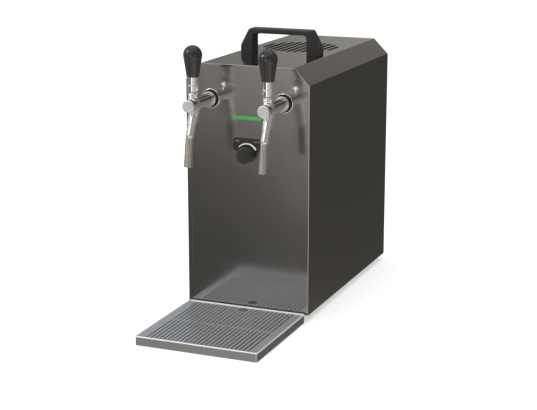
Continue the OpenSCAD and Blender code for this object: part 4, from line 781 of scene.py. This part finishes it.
# %% Screws
def cross_head(radius=3.5, height=2.2, bar=0.55, reach=1.9, depth=1.0):
    """A dome h(r) with a cross sunk where the smaller of |x| and |y| is under the bar's half
    width and the larger one is within its reach."""
    share = np.concatenate([np.linspace(0, 0.72, 16), np.linspace(0.76, 1, 7)])[:, None]
    angle = 2 * math.pi * np.arange(64)[None, :] / 64
    x, y = radius * share * np.cos(angle), radius * share * np.sin(angle)
    near, far = np.minimum(np.abs(x), np.abs(y)), np.maximum(np.abs(x), np.abs(y))
    sunk = np.clip((bar + 0.15 - near) / 0.2, 0, 1) * np.clip((reach - far) / 0.3, 0, 1)
    top = height * np.sqrt(np.clip(1 - (share * 0.96) ** 4, 0, 1)) - depth * sunk
    dome = np.stack([x, top, y], -1)
    foot_ring = np.stack([x[-1:], 0 * x[-1:], y[-1:]], -1)
    return grid_shell(np.concatenate([dome, foot_ring]), close_columns=True, caps=(-1,))


shank = profile([(0, -8), (1.55, -8), (1.75, -7.5), (1.75, 0), (0, 0)], [0, 0.1, 0.1, 0, 0])
SCREW_X, SCREW_SHARES = 115, (0.12, 0.5, 0.86)
heads = [moved(shell, (s * SCREW_X, BODY_D, BODY_H * share)) for s in (-1, 1) for share in SCREW_SHARES
         for shell in (cross_head(), turned(shank, axis="y", sides=24))]
make("cover_screws", heads, "zinc_steel", "cabinet", ["back_screws"])

# %% Inlets, collets and barbs
BACK_Y = BODY_D - SHEET_T
INLET_X, INLET_Z, BARB_X, BARB_Z = 88, 60, 22, 50
fitting = profile([(3.75, -15.2), (7.4, -15.2), (8, -14.6), (8, 0), (11, 0), (11, 4), (10.2, 4.8),
                   (10.2, 11.4), (11, 12.2), (11, 15.2), (10.2, 16), (6.6, 16), (6.6, 6.3), (3.75, 6.3),
                   (3.75, -15.2)],
                  [0, 0.2, 0.2, 0, 0.6, 0.4, 0.4, 0.4, 0.4, 0.5, 0.3, 0.3, 0, 0, 0])
inlets = [turned(fitting, (s * INLET_X, BACK_Y, INLET_Z), "y", 64) for s in (-1, 1)]
make("inlet_fittings", inlets, "satin_steel", "cabinet", ["beer_inlets"])
collet = profile([(4.75, 8), (6.5, 8), (6.5, 17.6), (8.5, 17.6), (8.5, 19.6), (5.4, 19.6), (4.75, 18.8),
                  (4.75, 8)], [0, 0.3, 0, 0.5, 0.6, 0.2, 0.3, 0])
for side, s in SIDES.items():
    release = turned(collet, (s * INLET_X, BACK_Y, INLET_Z), "y", 64)
    make(f"{side}_collet_ring", [release], "matte_black", f"{side}_collet",
         [f"{side}_collet"])
barb = profile([(2, -2.7), (4, -2.7), (4, 7.2), (4.5, 7.2), (4, 9.2), (4, 12), (4.5, 12), (4, 14),
                (3.7, 16), (2, 16), (2, -2.7)], [0, 0.2, 0, 0.1, 0, 0, 0.1, 0.1, 0.3, 0.2, 0])
barbs = [turned(barb, (s * BARB_X, BACK_Y, BARB_Z), "y", 48) for s in (-1, 1)]
make("hose_barbs", barbs, "brass", "cabinet", ["air_outlets"])


# %% Cord gland
def hex_ribs(angle, height):
    """Six flats on the gland's nut. A flat lies at cos 30 degrees of the corner's radius, and
    between corners the radius is that share over the cosine of the angle to the flat's middle."""
    on_nut = np.clip(height / 0.4, 0, 1) * np.clip((6.4 - height) / 0.4, 0, 1)
    sixth = math.pi / 3
    flat = math.cos(sixth / 2) / np.cos((angle + sixth / 2) % sixth - sixth / 2)
    return 1 + (flat - 1) * on_nut


gland = profile([(3.75, -11.2), (7.5, -11.2), (7.5, 0), (8.4, 0), (8.4, 6), (8.2, 6.6), (7.4, 8.6),
                 (5.6, 10), (3.75, 10), (3.75, -11.2)], [0, 0.3, 0, 0.3, 0.2, 0.4, 0.8, 0.8, 0.3, 0])
GLAND_X, SWITCH_Z = 50, 115
make("gland_nut", [turned(gland, (GLAND_X, BACK_Y, SWITCH_Z), "y", 96, hex_ribs)], "matte_black", "cabinet",
     ["cord_gland"])

# %% [markdown]
# ## Rocker switches
# Two small rockers sit in frames in the back. A rocker's face is dished: seen from the side it
# is two flats that meet in a shallow valley, and it leans to its off side.

# %% Frames
ROCKERS = {"power": -50, "pump": -10}
ROCKER_W, ROCKER_H, ROCKER_GAP = 11, 17, 0.4
FACE_Y = BACK_Y + 1.5


def frame_loft():
    """A rounded rectangle carried round the frame's own section: bezel, rim, hole and body. Each
    station says how much larger it is than the hole, its depth and its corner radius."""
    stations = [(3, BACK_Y - 19.2, 0.6), (3, BACK_Y, 0.6), (6, BACK_Y, 1.6), (6, BACK_Y + 0.9, 1.6),
                (5.2, BACK_Y + 1.4, 1.4), (4.6, FACE_Y, 1.2), (0.5, FACE_Y, 0.4), (0, BACK_Y + 1.3, 0.3),
                (0, BACK_Y - 8.5, 0.3)]
    hole = ROCKER_W + 2 * ROCKER_GAP, ROCKER_H + 2 * ROCKER_GAP
    lines = [rounded_box_line(hole[0] + more, hole[1] + more, r, 4, 0.1) for more, _, r in stations]
    return np.stack([np.insert(line, 1, y, axis=1) for line, (_, y, _) in zip(lines, stations)])


frame_shell = grid_shell(frame_loft(), close_columns=True, caps=(0, -1))
frames = [moved(frame_shell, (x, 0, SWITCH_Z)) for x in ROCKERS.values()]
make("switch_bezels", frames, "matte_black", "cabinet", ["switch_frames"])


# %% Rockers
def rocker_face(back_r=8.5, back_in=5, edge=0.3, shrink=0.97):
    """The outline seen from the side, a round back and a dished front, carried across."""
    swing = np.linspace(-0.62, 0.62, 9)
    back = back_r * np.stack([-np.cos(swing), np.sin(swing)], -1)
    back[:, 0] = np.maximum(back[:, 0], -back_in)
    front = [(2.2, 8.2), (1.25, 4), (0.75, 1), (0.65, 0), (0.75, -1), (1.25, -4), (2.2, -8.2)]
    outline = np.concatenate([back, front])
    flank = ROCKER_W / 2
    stations = [(-flank, shrink), (edge - flank, 1), (flank - edge, 1), (flank, shrink)]
    return np.stack([np.insert(outline * share, 0, x, axis=1) for x, share in stations])


ROCKER_LEAN = -10
rocker_shell = grid_shell(rocker_face(), close_columns=True, caps=(0, -1))
for name, x in ROCKERS.items():
    rocker = moved(rocker_shell, (x, FACE_Y, SWITCH_Z), ROCKER_LEAN)
    make(f"{name}_rocker_key", [rocker], "matte_black", f"{name}_rocker", [f"{name}_rocker"])

# %% [markdown]
# ## Studio
# The photograph was lit by a bright studio that the polished steel mirrors: white behind the
# camera, softer walls, a dark strip below. The world paints these by direction, while the
# camera itself sees plain white behind the object. The floor is a pale sheet that the steel
# doesn't mirror, so the dark polish stays dark.


# %% Levels by azimuth
UPPER = [(-120, 0.50), (-90, 0.65), (-70, 1.10), (-28, 1.35), (-14, 1.20), (-9, 0.14), (4, 0.14), (9, 0.40),
         (34, 0.30), (64, 0.36), (95, 0.25), (127, 0.20), (142, 0.20), (165, 0.38), (181, 0.35), (200, 0.45),
         (240, 0.50)]
HIGH = [(-120, 0.60), (-90, 0.62), (-68, 0.90), (-58, 0.36), (-36, 0.30), (-28, 0.55), (-14, 0.55),
        (-9, 0.14), (4, 0.14), (9, 0.40), (34, 0.30), (64, 0.36), (95, 0.25), (127, 0.16), (137, 0.10),
        (142, 0.11), (150, 0.25), (165, 0.34), (175, 0.40), (181, 0.25), (186, 0.20), (200, 0.45),
        (240, 0.60)]
LOW = [(-120, 0.45), (-90, 0.48), (-68, 0.90), (-44, 0.78), (-38, 0.95), (-34, 1.45), (-20, 1.40),
       (-9, 0.45), (4, 0.45), (9, 0.72), (18, 0.62), (56, 0.38), (95, 0.24), (127, 0.13), (137, 0.072),
       (142, 0.072), (165, 0.20), (200, 0.30), (240, 0.45)]
BELOW = [(-120, 0.30), (-60, 0.10), (-40, 0.09), (-26, 0.40), (30, 0.40), (60, 0.22), (97, 0.16),
         (130, 0.10), (142, 0.10), (180, 0.12), (240, 0.30)]
TABLE = [(-120, 0.30), (-73, 0.60), (-60, 0.22), (-38, 0.22), (-30, 1.10), (-20, 0.60), (0, 0.60),
         (12, 1.30), (30, 1.10), (58, 0.40), (113, 0.22), (180, 0.22), (240, 0.30)]
CEILING = 0.95
VIEW_FROM, SEAM = 22.4, 60
wall_levels = [level for _, level in UPPER + HIGH + LOW]
print("the walls go from", min(wall_levels), "to", max(wall_levels))


# %% World by direction
def studio():
    """Brightness as a function of direction. The azimuth a is 0 towards the camera and grows to
    the right, the elevation e is 0 at the horizon. Five ramps over a give the upper walls, the
    lower walls, their foot, the dark strip under it and the white table. The foot's lower edge
    is a soft slope in e that sinks towards the camera, and the ceiling takes over high up."""
    world = bpy.data.worlds.new("studio")
    bpy.context.scene.world = world
    world.use_nodes = True
    r = Recipe(world.node_tree)
    direction = r.node("ShaderNodeTexCoord", output="Generated")
    split = r.node("ShaderNodeSeparateXYZ", {}, {0: direction})
    x, y, z = (Wire(r, split.socket.node.outputs[k]) for k in range(3))
    degrees = 180 / math.pi
    middle = math.radians(VIEW_FROM + SEAM)
    ahead = x * math.sin(middle) - y * math.cos(middle)
    right = x * math.cos(middle) + y * math.sin(middle)
    azimuth = right.math("ARCTAN2", ahead) * degrees + SEAM
    elevation = z.math("ARCSINE") * degrees

    def around(stops):
        """A level for each azimuth from -120 to 240 degrees, straight between the stops."""
        share = (azimuth + 120) * (1 / 360)
        colours = [((a + 120) / 360, (v, v, v, 1)) for a, v in stops]
        return r.node("ShaderNodeValToRGB", {"stops": colours}, {0: share})

    def ease(value, low, high, first=0.0, last=1.0):
        """A soft step from first to last as value goes from low to high."""
        return r.node("ShaderNodeMapRange", {"interpolation_type": "SMOOTHSTEP"},
                      {"Value": value, 1: low, 2: high, 3: first, 4: last})

    upper, high, low, below, table = (around(stops) for stops in (UPPER, HIGH, LOW, BELOW, TABLE))
    sink = r.node("ShaderNodeClamp", {}, {0: azimuth + 44, 1: -12.0, 2: 12.0}) * 0.7
    rise = ease(elevation + sink, -16.5, -3)
    walls = low + (high - low) * ease(elevation, -3, 9)
    walls = walls + (upper - walls) * ease(elevation, 25, 33)
    level = below + (walls - below) * rise
    level = level + (table - level) * ease(elevation, -22, -17, 1, 0)
    level = level + (CEILING - level) * ease(elevation, 35, 62)
    glossy = r.node("ShaderNodeBackground", {}, {"Color": (1, 0.985, 0.965, 1), "Strength": level})
    plain = r.node("ShaderNodeBackground", {}, {"Color": (1, 1, 1, 1), "Strength": 1.0})
    camera_ray = r.node("ShaderNodeLightPath", output="Is Camera Ray")
    mixed = r.node("ShaderNodeMixShader", {}, {0: camera_ray, 1: glossy, 2: plain})
    r.node("ShaderNodeOutputWorld", {}, {"Surface": mixed})
    print("the world has", len(world.node_tree.nodes), "nodes")


studio()

# %% Floor
floor_material, r = recipe("pale_floor")
r.surface(Base_Color=r.blend(r.noise(3, 2), grey(0.86), grey(0.88)), Roughness=0.9,
          Emission_Color=(1, 1, 1, 1), Emission_Strength=0.45)
FLOOR_HALF, FLOOR_LINES, FLOOR_DROP = 9.0, 40, 0.0002
line = np.linspace(-FLOOR_HALF, FLOOR_HALF, FLOOR_LINES)
gx, gy = np.meshgrid(line, line, indexing="ij")
floor_mesh = bpy.data.meshes.new("floor")
points, faces = grid_shell(np.stack([gx, gy, 0 * gx - FLOOR_DROP], -1))
floor_mesh.from_pydata(points.tolist(), [], [face[::-1] for face in faces])
floor_mesh.materials.append(floor_material)
floor = bpy.data.objects.new("floor", floor_mesh)
bpy.context.scene.collection.objects.link(floor)
floor.visible_glossy = False
print("floor normal:", tuple(floor_mesh.polygons[0].normal))


# %% Lights
def softbox(name, place, aim, size, power):
    """A white area light of that size in metres and power in watts, turned towards aim."""
    data = bpy.data.lights.new(name, "AREA")
    data.shape, data.size, data.size_y = "RECTANGLE", size[0], size[1]
    data.energy = power
    light = bpy.data.objects.new(name, data)
    away = np.array(place, float) - np.array(aim, float)
    flat = math.hypot(away[0], away[1])
    light.location = place
    light.rotation_euler = (math.atan2(flat, away[2]), 0, math.atan2(away[0], -away[1]))
    bpy.context.scene.collection.objects.link(light)
    return light


key = softbox("key", (-1.9, -1.3, 1.9), (0, 0, 0.3), (0.6, 0.5), 16)
top = softbox("top", (0.3, 0.2, 2.6), (0, 0, 0.2), (1.6, 1.6), 18)
top.visible_glossy = False
print("lights:", key.name, top.name)

# %% [markdown]
# ## Camera
# The photograph was taken from the right and a little above, with a long lens. The place and
# the lens were worked out from the lines of the casing. A camera of Blender looks down its own
# -Z, so it stands upright at 90 degrees about X and looks a little down at 75.93.

# %% Camera
camera_data = bpy.data.cameras.new("camera")
camera_data.sensor_width, camera_data.lens = 36, 93.0
camera = bpy.data.objects.new("camera", camera_data)
camera.location = (0.9691, -2.3698, 0.8234)
camera.rotation_euler = (math.radians(75.93), 0, math.radians(VIEW_FROM))
bpy.context.scene.collection.objects.link(camera)
bpy.context.scene.camera = camera
bpy.context.scene.view_settings.view_transform = "Standard"
print("camera at", tuple(camera.location))
